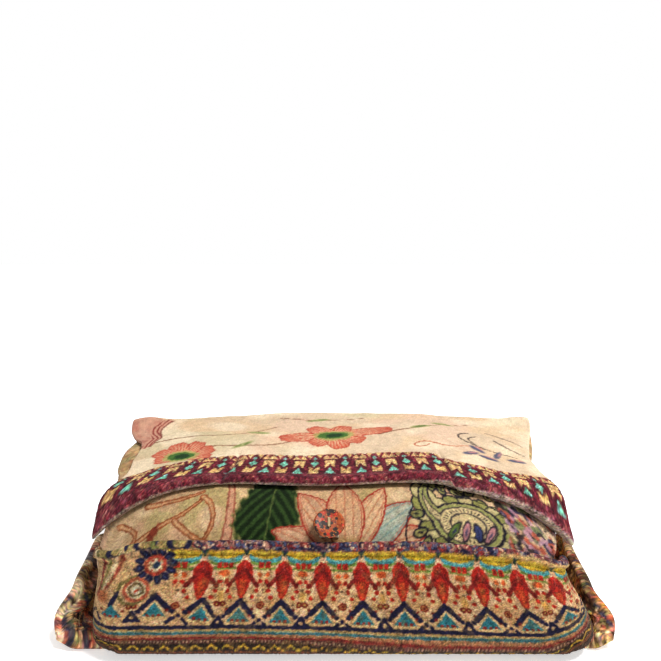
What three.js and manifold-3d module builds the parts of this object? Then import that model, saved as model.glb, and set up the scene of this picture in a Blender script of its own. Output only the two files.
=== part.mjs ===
// A plush travel blanket, folded back and forth and tucked into its own pouch, lying on its back.
// The pouch is two cloths: a front pocket, and a back panel that runs under the blanket, up behind it
// and over the top as an open flap. A wooden button is sewn to the blanket above the pocket's mouth.
// Millimetres, +Z up, X along the width, the pocket's mouth towards -Y. The origin is at the middle of
// the footprint, on the surface that the part lies on.
import * as THREE from "three";
import { mergeVertices } from "three/addons/utils/BufferGeometryUtils.js";
import Module from "manifold-3d";

// Cloth and layers, as packed
const CLOTH = 4; // the pouch's plush cloth
const HEM = 7.5; // the same cloth rolled into a hem
const WING = 7.5; // the pouch's side, where pocket and back panel are sewn together
const LAYER = 10.2; // one layer of the folded blanket, which is the cloth doubled
const PITCH = 11.6; // from one layer's middle to the next one's
const RUNS = 10; // layers in the stack, from the bottom one to the top one
const SEAM_GAP = 1.1; // air between one cloth and the next

// The folded stack before it settles
const BOTTOM_MIDDLE = CLOTH + SEAM_GAP + LAYER / 2; // height of the bottom layer's middle
const TOP_MIDDLE = BOTTOM_MIDDLE + (RUNS - 1) * PITCH;
const STACK_FRONT = -118; // middle of the outer layer where it turns up at the front
const STACK_REAR = 112; // where the rear folds begin to turn
const STACK_LEFT = 181; // reach of its two ends along X
const STACK_RIGHT = 187;
const FRONT_RIGHT = 10; // how much further its upper layers reach at the right of the front
const STACK_DROOP = 7; // how much lower its ends lie than the cloth over them
const TURN_LOW = 26; // outer layer's turn at the front, below
const TURN_HIGH = 60; // and above, where the pack is rounded

// The pouch before it settles
const OVER = LAYER / 2 + SEAM_GAP + CLOTH / 2 + 1.4; // from the outer layer's middle to the pouch's
const REAR_WALL = STACK_REAR + PITCH / 2 + OVER;
const FLAP_HEIGHT = TOP_MIDDLE + OVER;
const POCKET_FACE = STACK_FRONT - OVER;
const ROUNDING = TURN_HIGH + OVER; // the pouch's round over the top edge
const ROUND_Y = STACK_FRONT + TURN_HIGH; // middle of that round
const ROUND_Z = TOP_MIDDLE - TURN_HIGH;
const BACK_FRONT = -108; // front edge of the back panel, under the pack
const HEM_ANGLE = 79; // degrees from level, seen from the round's middle, where the flap ends
const HEM_WRAP = 1.2; // share by which its two ends reach further round
const HEM_STEP = 0.55; // and the whole hem to the right of its right pleat
const MOUTH_ANGLE = 34.5; // the same for the pocket's mouth
const MOUTH_LEFT_ANGLE = 45; // and at the mouth's two ends
const MOUTH_RIGHT_ANGLE = 37.5;
const MOUTH_LEFT_TIP = 7; // and a little more at the left tip
const POCKET_LEFT = 190; // reach of the pocket's two ends along X
const POCKET_RIGHT = 197;
const POCKET_CORNER = 25;
const POCKET_OUT = 22; // how far its left end leans out at the mouth
const TUCK = 18; // the pocket's turn under the pack at the floor
const FLOOR_LEFT = 202; // reach of the back panel on the floor, up to where its sides curl
const FLOOR_RIGHT = 197;
const WING_TURN = 15; // radius of that curl
const WING_FLARE = 0.6; // how far it turns at the pack's front, in radians
const WING_CURL = [1.4, 1.6]; // and further back, left and right
const WING_SHORT = 18; // cloth past the floor's reach at the front
const WING_LONG = 47; // and further back

// Half widths of the flap, left and right, from the rear fold to its hem, and how far the upper layers
// reach to the left past the flap's side
const SIDES = [
  { y: 140, left: 200, right: 188, upperLayers: 191 },
  { y: 112, left: 200, right: 188, upperLayers: 188 },
  { y: 89, left: 199, right: 187, upperLayers: 188 },
  { y: 69, left: 196, right: 186, upperLayers: 198 },
  { y: 49, left: 190, right: 186, upperLayers: 207 },
  { y: 29, left: 191, right: 187, upperLayers: 213 },
  { y: 9, left: 197, right: 187, upperLayers: 217 },
  { y: -1, left: 200, right: 190, upperLayers: 217 },
  { y: -21, left: 201, right: 197, upperLayers: 213 },
  { y: -31, left: 202, right: 201, upperLayers: 210 },
  { y: -47, left: 210, right: 206, upperLayers: 206 },
  { y: -60, left: 220, right: 208, upperLayers: 203 },
  { y: -80, left: 222, right: 210, upperLayers: 201 },
];

// How the whole pack settles
const SPREAD_LEFT = 235; // distances from the middle at which the ends have sunk by these
const SPREAD_RIGHT = 222;
const SINK_REAR = 12;
const SINK_MIDDLE = 24;
const SINK_FRONT = 58;
const REAR_SINK = 9;
const REAR_LEFT_SINK = 3;
const DRAW_IN = 0.13; // share by which the top is shorter than the base at the front
const PLEATS = [-106, 112]; // places of two short pleats across the flap's border
const STEP_AT = [107, 117]; // where the hem steps down at the right pleat

// Where the rear corners stand up in soft ears
const EARS = [
  { x: -188, y: 114, rise: 5, reach: 22 },
  { x: 181, y: 112, rise: 3.5, reach: 13 },
];

const radians = THREE.MathUtils.degToRad;
const smooth = (from, to, value) => {
  const t = THREE.MathUtils.clamp((value - from) / (to - from), 0, 1);
  return t * t * (3 - 2 * t);
};

// Reach of a side at a place along Y, between the rows of the table of sides.
function reachAt(y, side) {
  const next = SIDES.findIndex((row) => row.y <= y);
  const [from, to] = next < 0 ? SIDES.slice(-2) : [SIDES[Math.max(next, 1) - 1], SIDES[Math.max(next, 1)]];
  const within = THREE.MathUtils.clamp(y, SIDES[SIDES.length - 1].y, SIDES[0].y);
  return THREE.MathUtils.mapLinear(within, from.y, to.y, from[side], to[side]);
}

// Where a point of the neatly packed shape comes to rest: the ends sink, most of all at the front, the
// top draws in, and the faces wave as stuffed cloth does. Points at the floor stay on it.
function settle({ x, y, z }) {
  const up = Math.max(0, z - CLOTH) / (FLAP_HEIGHT + CLOTH / 2 - CLOTH);
  const endSink =
    SINK_REAR +
    (SINK_MIDDLE - SINK_REAR) * smooth(120, 50, y) +
    (SINK_FRONT - SINK_MIDDLE) * smooth(-50, -88, y);
  const rearSink = (REAR_SINK + REAR_LEFT_SINK * smooth(-30, -110, x)) * smooth(20, 125, y);
  const sink = rearSink + endSink * (x / (x < 0 ? SPREAD_LEFT : SPREAD_RIGHT)) ** 4;
  const free = smooth(6, 60, z);
  const waveY = 1.8 * Math.sin(x / 37 + 0.6) + 1.4 * Math.sin(x / 61 + z / 30);
  const waveZ = 1.1 * Math.sin(x / 45 + y / 50) + 0.8 * Math.sin(x / 26 - 1);
  const ears = EARS.reduce(
    (sum, ear) => sum + ear.rise * Math.exp(-((x - ear.x) ** 2 + (y - ear.y) ** 2) / ear.reach ** 2),
    0,
  );
  return new THREE.Vector3(
    x * (1 - DRAW_IN * smooth(8, 100, z) * smooth(120, -30, y)),
    y + waveY * free,
    z - sink * up ** 1.2 + waveZ * free + ears * up,
  );
}

// A flat cloth of columns x rows cells, bent by putting each of its points where point() says.
// side is -1 on one face of the cloth and 1 on the other.
function bentCloth(columns, rows, point) {
  const geometry = new THREE.BoxGeometry(1, 1, 1, columns, rows, 1);
  const at = geometry.getAttribute("position");
  for (let n = 0; n < at.count; n++) {
    const column = Math.round((at.getX(n) + 0.5) * columns);
    const row = Math.round((at.getY(n) + 0.5) * rows);
    const place = point(column, row, Math.sign(at.getZ(n)));
    at.setXYZ(n, place.x, place.y, place.z);
  }
  geometry.deleteAttribute("normal");
  geometry.deleteAttribute("uv");
  return mergeVertices(geometry, 1e-3);
}

// A thin cloth whose middle surface is middle(a, b) for a in across and b in along, once settled.
// thickness(a, b) gives its reach behind and ahead of that surface, ahead being across x along.
function thinCloth(across, along, middle, thickness) {
  const settled = across.map((a) => along.map((b) => settle(middle(a, b))));
  const step = (i, j, di, dj) => {
    const next = settled[Math.min(i + di, across.length - 1)][Math.min(j + dj, along.length - 1)];
    const previous = settled[Math.max(i - di, 0)][Math.max(j - dj, 0)];
    return next.clone().sub(previous);
  };
  return bentCloth(across.length - 1, along.length - 1, (i, j, side) => {
    const normal = step(i, j, 1, 0).cross(step(i, j, 0, 1)).normalize();
    const { behind, ahead } = thickness(across[i], along[j]);
    return settled[i][j].clone().addScaledVector(normal, side > 0 ? ahead : -behind);
  });
}

// Stations along a path of lines and arcs: each has its point and its left-hand normal.
function stations(path, lineStep, arcStep) {
  const found = [];
  for (const curve of path.curves) {
    const line = curve.isLineCurve;
    const parts = Math.max(1, Math.round(curve.getLength() / (line ? lineStep : arcStep(curve))));
    for (let k = found.length ? 1 : 0; k <= parts; k++) {
      const tangent = curve.getTangentAt(k / parts);
      found.push({
        point: curve.getPointAt(k / parts),
        normal: new THREE.Vector2(-tangent.y, tangent.x),
      });
    }
  }
  return found;
}

// The blanket's section, as a path in the YZ plane: the outer layer wraps the stack from below, round
// the front and over the top, and the rest is folded back and forth inside it.
function foldPath() {
  const path = new THREE.Path();
  path.moveTo(STACK_REAR - 6, BOTTOM_MIDDLE);
  path.lineTo(STACK_FRONT + TURN_LOW, BOTTOM_MIDDLE);
  path.absarc(STACK_FRONT + TURN_LOW, BOTTOM_MIDDLE + TURN_LOW, TURN_LOW, -Math.PI / 2, -Math.PI, true);
  path.absarc(ROUND_Y, ROUND_Z, TURN_HIGH, Math.PI, Math.PI / 2, true);
  path.lineTo(STACK_REAR, TOP_MIDDLE);
  const insideFront = TURN_HIGH - LAYER - 2.2 - PITCH / 2; // reach of the inner folds from the round
  for (let run = 1; run < RUNS - 1; run++) {
    const height = TOP_MIDDLE - run * PITCH;
    const turnHeight = height + (run % 2 ? PITCH / 2 : -PITCH / 2);
    if (run % 2) {
      path.absarc(STACK_REAR, turnHeight, PITCH / 2, Math.PI / 2, -Math.PI / 2, true);
      const foldHeight = height - PITCH / 2;
      const above = Math.max(0, foldHeight - ROUND_Z);
      const below = Math.max(0, BOTTOM_MIDDLE + TURN_LOW - foldHeight);
      const reach = Math.sqrt(Math.max(0, insideFront ** 2 - above ** 2));
      const lowReach = below ? TURN_LOW - Math.sqrt(Math.max(0, 15 ** 2 - (0.5 * below) ** 2)) : 0;
      path.lineTo(ROUND_Y - reach + lowReach, height);
      path.absarc(ROUND_Y - reach + lowReach, foldHeight, PITCH / 2, Math.PI / 2, -Math.PI / 2, false);
    } else {
      path.lineTo(run === RUNS - 2 ? STACK_REAR - 9 : STACK_REAR, height);
    }
  }
  return path;
}

const foldStations = stations(foldPath(), 52, (arc) => {
  const radius = arc.xRadius;
  return radius * radians(radius < TURN_LOW ? 45 : radius < TURN_HIGH ? 30 : 18);
});

// The blanket's layers stop unevenly at the two ends, as folded cloth does, and its front corners are
// rounded by the pocket around them.
function foldedBlanket() {
  const shares = [0.1, 0.33, 0.55, 0.74, 0.88, 0.96, 1];
  const across = [...shares.map((share) => -share).reverse(), ...shares];
  return bentCloth(across.length - 1, foldStations.length - 1, (i, j, side) => {
    const { point, normal } = foldStations[j];
    const end = Math.sign(across[i]);
    const share = Math.abs(across[i]);
    const y = point.x + normal.x * side * LAYER * 0.5;
    const height = point.y + normal.y * side * LAYER * 0.5;
    const uneven = 2.6 * Math.sin(point.y / 9 + point.x / 160 + end);
    const upper = end < 0 ? smooth(35, 90, height) : 0;
    const plain = end < 0 ? STACK_LEFT : STACK_RIGHT;
    const atRight = end > 0 ? smooth(84, 104, height) * smooth(-50, -85, y) : 0;
    const half = THREE.MathUtils.lerp(plain, reachAt(y, "upperLayers"), upper) + FRONT_RIGHT * atRight;
    const corner = 13 * smooth(0.86, 1.04, share) * smooth(-40, STACK_FRONT, y);
    const droop = (STACK_DROOP / TOP_MIDDLE) * smooth(0.72, 1, share) * (1 - upper * smooth(-70, 0, y));
    return settle({
      x: across[i] * half + end * uneven * share ** 6,
      y: y + corner,
      z: CLOTH + SEAM_GAP + (height - CLOTH - SEAM_GAP) * (1 - droop),
    });
  });
}

// The back panel and flap: a path in the YZ plane from the front edge, under and behind the pack, and
// over the top to the flap's hem.
function backPath() {
  const low = CLOTH / 2;
  const path = new THREE.Path();
  path.moveTo(BACK_FRONT, low);
  path.lineTo(REAR_WALL - 14, low);
  path.absarc(REAR_WALL - 14, low + 14, 14, -Math.PI / 2, 0, false);
  path.lineTo(REAR_WALL, FLAP_HEIGHT - 11);
  path.absarc(REAR_WALL - 11, FLAP_HEIGHT - 11, 11, 0, Math.PI / 2, false);
  path.lineTo(ROUND_Y, FLAP_HEIGHT);
  path.absarc(ROUND_Y, ROUND_Z, ROUNDING, Math.PI / 2, Math.PI - radians(HEM_ANGLE), false);
  return path;
}

const ORIGIN = new THREE.Vector2();
const ACROSS = 222; // half the cloth's width as cut

function pouchBackAndFlap() {
  const along = stations(backPath(), 26, (arc) => arc.xRadius * radians(arc.xRadius < 20 ? 30 : 4));
  const [left, right] = PLEATS.map(Math.abs);
  const edges = [198, 204, 210, 216, ACROSS];
  const shares = (pleat) => [20, 55, 84, pleat - 5, pleat, pleat + 5, 136, 158, 178, 192, ...edges];
  const across = [...shares(left).map((a) => -a).reverse(), 0, ...shares(right)];
  const middle = (a, { point }) => {
    const onFloor = point.y < CLOTH;
    const wing = smooth(BACK_FRONT - 6, -66, point.x) * smooth(100, 0, point.x);
    const forward = smooth(BACK_FRONT, -66, point.x);
    const past = THREE.MathUtils.lerp(WING_SHORT, WING_LONG, wing) * smooth(110, 60, point.x);
    const floor = a < 0 ? FLOOR_LEFT : FLOOR_RIGHT;
    const edge = onFloor ? floor + past : reachAt(point.x, a < 0 ? "left" : "right");
    const cloth = (Math.abs(a) / ACROSS) * edge;
    if (!onFloor) {
      const hang = point.x < ROUND_Y ? Math.atan2(ROUND_Y - point.x, point.y - ROUND_Z) : 0;
      const wrapped = hang * (HEM_WRAP * (a / ACROSS) ** 4 + HEM_STEP * smooth(...STEP_AT, a));
      const further = new THREE.Vector2(point.x - ROUND_Y, point.y - ROUND_Z).rotateAround(ORIGIN, wrapped);
      return { x: Math.sign(a) * cloth, y: ROUND_Y + further.x, z: ROUND_Z + further.y };
    }
    const beyond = Math.max(0, cloth - floor);
    const curl = THREE.MathUtils.lerp(WING_FLARE, WING_CURL[a < 0 ? 0 : 1], forward);
    const turned = Math.min(beyond / WING_TURN, curl);
    const rest = beyond - turned * WING_TURN;
    const x = Math.min(cloth, floor) + WING_TURN * Math.sin(turned) + rest * Math.cos(turned);
    const lift = WING_TURN * (1 - Math.cos(turned)) + rest * Math.sin(turned);
    return { x: Math.sign(a) * x, y: point.x, z: point.y + lift };
  };
  const thickness = (a, { point }) => {
    const hem = point.y > ROUND_Z ? smooth(ROUND_Y + 4, ROUND_Y - 10, point.x) : 0;
    const pleat = PLEATS.includes(a) ? 0.2 : 1;
    const alongside = smooth(BACK_FRONT - 6, -80, point.x) * smooth(60, 0, point.x);
    const wing = point.y < CLOTH ? smooth(204, 212, Math.abs(a)) * alongside : 0;
    return {
      behind: CLOTH / 2 + (HEM - CLOTH) * hem * pleat,
      ahead: CLOTH / 2 + (WING - CLOTH) * wing,
    };
  };
  return thinCloth(across, along, middle, thickness);
}

// The pocket: its plan runs along the front and turns back at both ends, and it rises from its tuck
// at the floor to its mouth, leaning back over the pack's rounded front.
function pouchPocket() {
  const turns = [90, 68, 45, 22, 0];
  const left = turns.map((angle) => ({ straight: -(POCKET_LEFT - POCKET_CORNER), angle, sign: -1 }));
  const middles = [-130, -100, -70, -35, 0, 35, 70, 100, 130, 152];
  const front = middles.map((straight) => ({ straight, angle: 0, sign: 1 }));
  const rightTurns = [...turns].reverse();
  const right = rightTurns.map((angle) => ({ straight: POCKET_RIGHT - POCKET_CORNER, angle, sign: 1 }));
  const along = [0, 0.06, 0.12, 0.18, 0.3, 0.42, 0.53, 0.63, 0.73, 0.83, 0.91, 0.96, 1];
  const middle = ({ straight, angle, sign }, v) => {
    const turn = radians(angle);
    const outX = sign * Math.sin(turn);
    const outY = -Math.cos(turn);
    const corner = angle / 90;
    // Round from below: the tuck starts flat on the floor at the front and higher at the ends.
    const tuckFrom = radians(corner > 0 ? 58 : 4);
    const tuck = THREE.MathUtils.lerp(tuckFrom, Math.PI / 2, Math.min(1, v / 0.18));
    const inward = TUCK * (1 - Math.sin(tuck));
    const low = CLOTH / 2 + 0.4 + TUCK * (1 - Math.cos(tuck));
    const nearEnd = smooth(100, 185, Math.abs(straight + outX * POCKET_CORNER));
    const mouthEnd = straight < 0 ? MOUTH_LEFT_ANGLE : MOUTH_RIGHT_ANGLE;
    const tip = MOUTH_LEFT_TIP * smooth(-172, -190, straight + outX * POCKET_CORNER);
    const mouth = radians(THREE.MathUtils.lerp(MOUTH_ANGLE, mouthEnd, nearEnd) + tip);
    // Share of the rise that is upright, below the round.
    const upright = ROUND_Z - (CLOTH / 2 + 0.4 + TUCK);
    const rise = Math.max(0, (v - 0.18) / 0.82) * (upright + ROUNDING * mouth);
    const lean = Math.max(0, rise - upright) / ROUNDING;
    const height = low + Math.min(rise, upright) + ROUNDING * Math.sin(lean);
    const back = ROUNDING * (1 - Math.cos(lean)) * (1 - 0.7 * corner);
    const x = straight + outX * (POCKET_CORNER - inward);
    return {
      x: x - POCKET_OUT * smooth(15, 110, height) * smooth(-90, -185, x),
      y: POCKET_FACE + POCKET_CORNER + outY * (POCKET_CORNER - inward) + back,
      z: height,
    };
  };
  const thickness = (a, v) => ({
    behind: CLOTH / 2,
    ahead: CLOTH / 2 + (HEM - CLOTH) * smooth(0.86, 0.93, v) * (1 - 0.4 * smooth(0.96, 1, v)),
  });
  return thinCloth([...left, ...front, ...right], along, middle, thickness);
}

// The button, its thread and its tab are set out along a line that points away from the pack.
const BUTTON = { x: -8, radius: 12, thick: 4.6, holeRadius: 1.5, holeOffset: 3 };
const BUTTON_ANGLE = 45.5; // where it sits on the pack's round, in degrees from level
const BUTTON_LEAN = 9; // how much further up it faces
const STAND_OFF = 8; // from the blanket to the button's back
const SHANK_RADIUS = 2.2;
const TAB = { half: 8.5, thick: 1.2, from: 39, to: 52 };
const STACK_SURFACE = TURN_HIGH + LAYER / 2;

// A point at a distance from the round's middle, at an angle from level, settled with the pack.
function onRound(x, angle, distance) {
  const turn = radians(angle);
  return settle({ x, y: ROUND_Y - distance * Math.cos(turn), z: ROUND_Z + distance * Math.sin(turn) });
}

const wasm = await Module();
wasm.setup();

function toSolid(geometry) {
  const bare = geometry.clone();
  bare.deleteAttribute("normal");
  bare.deleteAttribute("uv");
  const merged = mergeVertices(bare, 1e-4);
  return new wasm.Manifold(
    new wasm.Mesh({
      numProp: 3,
      vertProperties: new Float32Array(merged.attributes.position.array),
      triVerts: new Uint32Array(merged.index.array),
    }),
  );
}

function toGeometry(solid) {
  const mesh = solid.getMesh();
  return new THREE.BufferGeometry()
    .setAttribute("position", new THREE.BufferAttribute(mesh.vertProperties, 3))
    .setIndex(new THREE.BufferAttribute(mesh.triVerts, 1));
}

// A round bar along Z, from one height to another.
function bar(radius, from, to, sides, y = 0) {
  const geometry = new THREE.CylinderGeometry(radius, radius, to - from, sides);
  return geometry.rotateX(Math.PI / 2).translate(0, y, (from + to) / 2);
}

// A turned disc with a soft rim and a shallow dish, drilled twice. Its back is at height 0.
function buttonDisc() {
  const { radius, thick, holeRadius, holeOffset } = BUTTON;
  const profile = [
    [0, 0],
    [radius - 2, 0],
    [radius - 0.6, 0.7],
    [radius, thick / 2],
    [radius - 0.5, thick - 0.8],
    [radius - 1.8, thick],
    [radius - 3.6, thick - 0.5],
    [radius - 6, thick - 1.1],
    [0, thick - 1.2],
  ].map(([r, h]) => new THREE.Vector2(r, h));
  const disc = new THREE.LatheGeometry(profile, 32).rotateX(Math.PI / 2);
  let solid = toSolid(disc);
  for (const side of [-1, 1]) {
    solid = solid.subtract(toSolid(bar(holeRadius, -1, thick + 1, 10, side * holeOffset)));
  }
  return toGeometry(solid);
}

// The thread: a wound shank behind the button, two legs through its holes and a stitch across its face.
function buttonThread(shankFrom) {
  const { thick, holeRadius, holeOffset } = BUTTON;
  const face = thick - 0.7;
  const legs = [-1, 1].map((side) => toSolid(bar(holeRadius - 0.5, -1.4, face + 0.7, 8, side * holeOffset)));
  const stitch = new THREE.BoxGeometry(1.9, holeOffset * 2 + 1.6, 1.1).translate(0, 0, face + 0.45);
  const plate = bar(holeOffset + 1.2, -1.6, -0.6, 12);
  const shank = bar(SHANK_RADIUS, shankFrom, -1.2, 12);
  return toGeometry(
    [...legs, toSolid(stitch), toSolid(plate)].reduce((all, one) => all.add(one), toSolid(shank)),
  );
}

// The cream tab that the button is sewn on through, bent round the pack's front.
function buttonTab() {
  const across = [-TAB.half, -TAB.half / 2, 0, TAB.half / 2, TAB.half];
  const along = [0, 0.33, 0.66, 1];
  return bentCloth(across.length - 1, along.length - 1, (i, j, side) => {
    const angle = THREE.MathUtils.lerp(TAB.from, TAB.to, along[j]);
    const distance = STACK_SURFACE + 0.5 + (TAB.thick / 2) * (1 + side);
    return onRound(BUTTON.x + across[i], angle, distance);
  });
}

const plush = (colour) => new THREE.MeshStandardMaterial({ color: colour, roughness: 0.95, metalness: 0 });
const blanketPlush = plush(0xcdb48a);
const pouchPlush = plush(0xd2b790);
const borderPlush = plush(0xb88a5c);
const turnedWood = new THREE.MeshStandardMaterial({ color: 0xb0582e, roughness: 0.5, metalness: 0 });
const creamThread = plush(0xeadfba);

function piece(name, geometry, material) {
  const mesh = new THREE.Mesh(geometry, material);
  mesh.name = name;
  return mesh;
}

const pack = new THREE.Group();
pack.add(piece("folded_blanket", foldedBlanket(), blanketPlush));
pack.add(piece("pouch_back_and_flap", pouchBackAndFlap(), pouchPlush));
pack.add(piece("pouch_pocket", pouchPocket(), borderPlush));
pack.add(piece("button_tab", buttonTab(), creamThread));

// Local +Z of the button group points away from the pack, leaning a little further up than it does.
const buttonAt = onRound(BUTTON.x, BUTTON_ANGLE, STACK_SURFACE + STAND_OFF);
const buttonGroup = new THREE.Group();
buttonGroup.position.copy(buttonAt);
buttonGroup.rotation.x = Math.PI / 2 - radians(BUTTON_ANGLE + BUTTON_LEAN);
buttonGroup.add(piece("button", buttonDisc(), turnedWood));
buttonGroup.add(piece("button_thread", buttonThread(TAB.thick + 1.1 - STAND_OFF), creamThread));
pack.add(buttonGroup);

// The origin goes to the middle of the footprint.
const box = new THREE.Box3().setFromObject(pack, true);
const middle = box.getCenter(new THREE.Vector3());
pack.position.set(-middle.x, -middle.y, -box.min.z);

export default pack;
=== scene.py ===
import math

import bmesh
import bpy
import numpy as np
from mathutils import Matrix, Vector


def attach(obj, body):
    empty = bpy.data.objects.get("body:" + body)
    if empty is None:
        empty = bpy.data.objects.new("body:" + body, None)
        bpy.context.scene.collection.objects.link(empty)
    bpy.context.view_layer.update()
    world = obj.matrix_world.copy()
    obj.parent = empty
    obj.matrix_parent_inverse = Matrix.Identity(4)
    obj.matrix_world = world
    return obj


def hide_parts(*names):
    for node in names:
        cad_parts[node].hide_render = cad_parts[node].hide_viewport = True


# A plush travel blanket, folded into its own pouch. Cloth is shaped in millimetres, in the straight
# space of the neatly packed stack, and then settles as the whole pack does. Places on a cloth are
# across (from left to right) and along (from the floor upwards, or back from a hem).

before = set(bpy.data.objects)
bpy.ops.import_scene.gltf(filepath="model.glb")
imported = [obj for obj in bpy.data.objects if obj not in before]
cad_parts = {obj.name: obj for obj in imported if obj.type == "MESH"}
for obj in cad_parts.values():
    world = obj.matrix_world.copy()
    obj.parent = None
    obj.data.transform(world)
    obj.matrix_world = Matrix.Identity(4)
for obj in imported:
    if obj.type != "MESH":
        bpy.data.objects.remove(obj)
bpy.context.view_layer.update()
MM = 0.001
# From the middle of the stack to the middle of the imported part's footprint
TO_FRAME = np.array([3.76, 0.254, 0.0])

# The cloths' thicknesses, and the stack's layers, from the middle of one to the next
CLOTH = 4.0
HEM = 7.5
WING = 7.5
LAYER = 10.2
PITCH = 11.6
RUNS = 10
SEAM_GAP = 1.1
BOTTOM_MIDDLE = CLOTH + SEAM_GAP + LAYER / 2
TOP_MIDDLE = BOTTOM_MIDDLE + (RUNS - 1) * PITCH

# The stack's outline, and how round its front is low down and high up
STACK_FRONT = -118.0
STACK_REAR = 112.0
STACK_LEFT = 181.0
STACK_RIGHT = 187.0
FRONT_RIGHT = 10.0
STACK_DROOP = 7.0
TURN_LOW = 26.0
TURN_HIGH = 60.0
# The outer layer's rounded left end starts at this share of the half width
END_FROM = 0.974
END_TURN = 15.0
# The bottom layer and the last one inside stop this far short of the rear
BASE_SHORT = 6.0
LAST_SHORT = 9.0
ROUND_Y = STACK_FRONT + TURN_HIGH
ROUND_Z = TOP_MIDDLE - TURN_HIGH

# The pouch stands this far out from the middle of the stack's outer layer
OVER = LAYER / 2 + SEAM_GAP + CLOTH / 2 + 1.4
REAR_WALL = STACK_REAR + PITCH / 2 + OVER
REAR_LOW_TURN = 14.0
REAR_HIGH_TURN = 11.0
FLAP_HEIGHT = TOP_MIDDLE + OVER
ROUNDING = TURN_HIGH + OVER
BACK_FRONT = -108.0
ACROSS = 222.0

# The flap's hem hangs this far round the front, in degrees, and further at its ends
HEM_ANGLE = 79.0
HEM_WRAP = 1.2
HEM_STEP = 0.55
STEP_FROM = 107.0
STEP_TO = 117.0
PLEATS = (-106.0, 112.0)

# The pocket's outline, its turn under the pack, and how far its mouth leans back, in degrees
POCKET_FACE = STACK_FRONT - OVER
POCKET_LEFT = 190.0
POCKET_RIGHT = 197.0
POCKET_CORNER = 25.0
POCKET_OUT = 22.0
TUCK = 18.0
TUCK_SHARE = 0.18
MOUTH_ANGLE = 34.5
MOUTH_LEFT_ANGLE = 45.0
MOUTH_RIGHT_ANGLE = 37.5
MOUTH_LEFT_TIP = 7.0

# The back panel's half widths on the floor, and the wings that curl up beyond them
FLOOR_LEFT = 202.0
FLOOR_RIGHT = 197.0
WING_TURN = 15.0
WING_FLARE = 0.6
WING_CURL_LEFT = 1.4
WING_CURL_RIGHT = 1.6
WING_SHORT = 18.0
WING_LONG = 47.0

# From the flap's hem to the rear fold: a place in y, the flap's half widths left and right of the
# middle there, and the left half width of the blanket's upper layers
OUTLINES = (
    (-80, 222, 210, 201),
    (-60, 220, 208, 203),
    (-47, 210, 206, 206),
    (-31, 202, 201, 210),
    (-21, 201, 197, 213),
    (-1, 200, 190, 217),
    (9, 197, 187, 217),
    (29, 191, 187, 213),
    (49, 190, 186, 207),
    (69, 196, 186, 198),
    (89, 199, 187, 188),
    (112, 200, 188, 188),
    (140, 200, 188, 191),
)
SIDE_Y, SIDE_LEFT, SIDE_RIGHT, UPPER_LAYERS = np.array(OUTLINES, float).T

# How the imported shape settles: its ends sink, its upper part draws in, and its rear corners stand up
# as ears, given by place, rise and reach
SPREAD_LEFT = 235.0
SPREAD_RIGHT = 222.0
SINK_REAR = 12.0
SINK_MIDDLE = 24.0
SINK_FRONT = 58.0
REAR_SINK = 9.0
REAR_LEFT_SINK = 3.0
DRAW_IN = 0.13
EARS = ((-188.0, 114.0, 5.0, 22.0), (181.0, 112.0, 3.5, 13.0))

# The steps by which a cloth's edge turns from its face to its back
EDGE_STEPS = (0.8, 0.35, -0.35, -0.8)
FINE_EDGE = (0.92, 0.78, 0.6, 0.4, 0.2, 0.0, -0.2, -0.4, -0.6, -0.78, -0.92)

# The camera, in metres, degrees and the photo's pixels
CAMERA_PLACE = (-0.0022, -0.770, 0.413)
CAMERA_DOWN = 13.4
FOCAL_PIXELS = 950
PHOTO_PIXELS = 661
SENSOR = 36

# The studio's light all round, and its lamps as place, size and watts
AROUND = 0.40
KEY = ((1.25, -0.62, 3.0), 1.1, 142)
FILL = ((-2.4, -2.2, 1.2), 2.0, 2)
AIM = (0, 0, 0.05)
FLOOR_GLOW = 0.55


def smooth(low, high, value):
    share = np.clip((value - low) / (high - low), 0, 1)
    return share * share * (3 - 2 * share)


def blend(first, second, share):
    return first + (second - first) * share


def settle(x, y, z):
    """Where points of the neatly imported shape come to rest."""
    up = np.maximum(0, z - CLOTH) / (FLAP_HEIGHT + CLOTH / 2 - CLOTH)
    end_sink = SINK_REAR + (SINK_MIDDLE - SINK_REAR) * smooth(120, 50, y)
    end_sink = end_sink + (SINK_FRONT - SINK_MIDDLE) * smooth(-50, -88, y)
    spread = np.where(x < 0, SPREAD_LEFT, SPREAD_RIGHT)
    rear_sink = (REAR_SINK + REAR_LEFT_SINK * smooth(-30, -110, x)) * smooth(20, 125, y)
    sink = rear_sink + end_sink * (x / spread) ** 4
    free = smooth(6, 60, z)
    wave_y = 1.8 * np.sin(x / 37 + 0.6) + 1.4 * np.sin(x / 61 + z / 30)
    wave_z = 1.1 * np.sin(x / 45 + y / 50) + 0.8 * np.sin(x / 26 - 1)
    ears = 0
    for ear_x, ear_y, rise, reach in EARS:
        ears = ears + rise * np.exp(-((x - ear_x) ** 2 + (y - ear_y) ** 2) / reach**2)
    return np.stack(
        [
            x * (1 - DRAW_IN * smooth(8, 100, z) * smooth(120, -30, y)),
            y + wave_y * free,
            z - sink * up**1.2 + wave_z * free + ears * up,
        ],
        1,
    )


def lumps(x, y, cell, seed):
    """Smooth unevenness from -1 to 1, with lumps of about one cell."""
    table = np.random.default_rng(seed).uniform(-1, 1, (61, 61))
    column = np.floor(x / cell).astype(int)
    row = np.floor(y / cell).astype(int)
    s = x / cell - column
    t = y / cell - row
    s = s * s * (3 - 2 * s)
    t = t * t * (3 - 2 * t)
    near = blend(table[column % 61, row % 61], table[(column + 1) % 61, row % 61], s)
    far = blend(table[column % 61, (row + 1) % 61], table[(column + 1) % 61, (row + 1) % 61], s)
    return blend(near, far, t)


def line_points(start, end):
    count = max(1, int(math.dist(start, end)))
    share = np.linspace(0, 1, count + 1)[:, None]
    return np.array(start) * (1 - share) + np.array(end) * share


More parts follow.
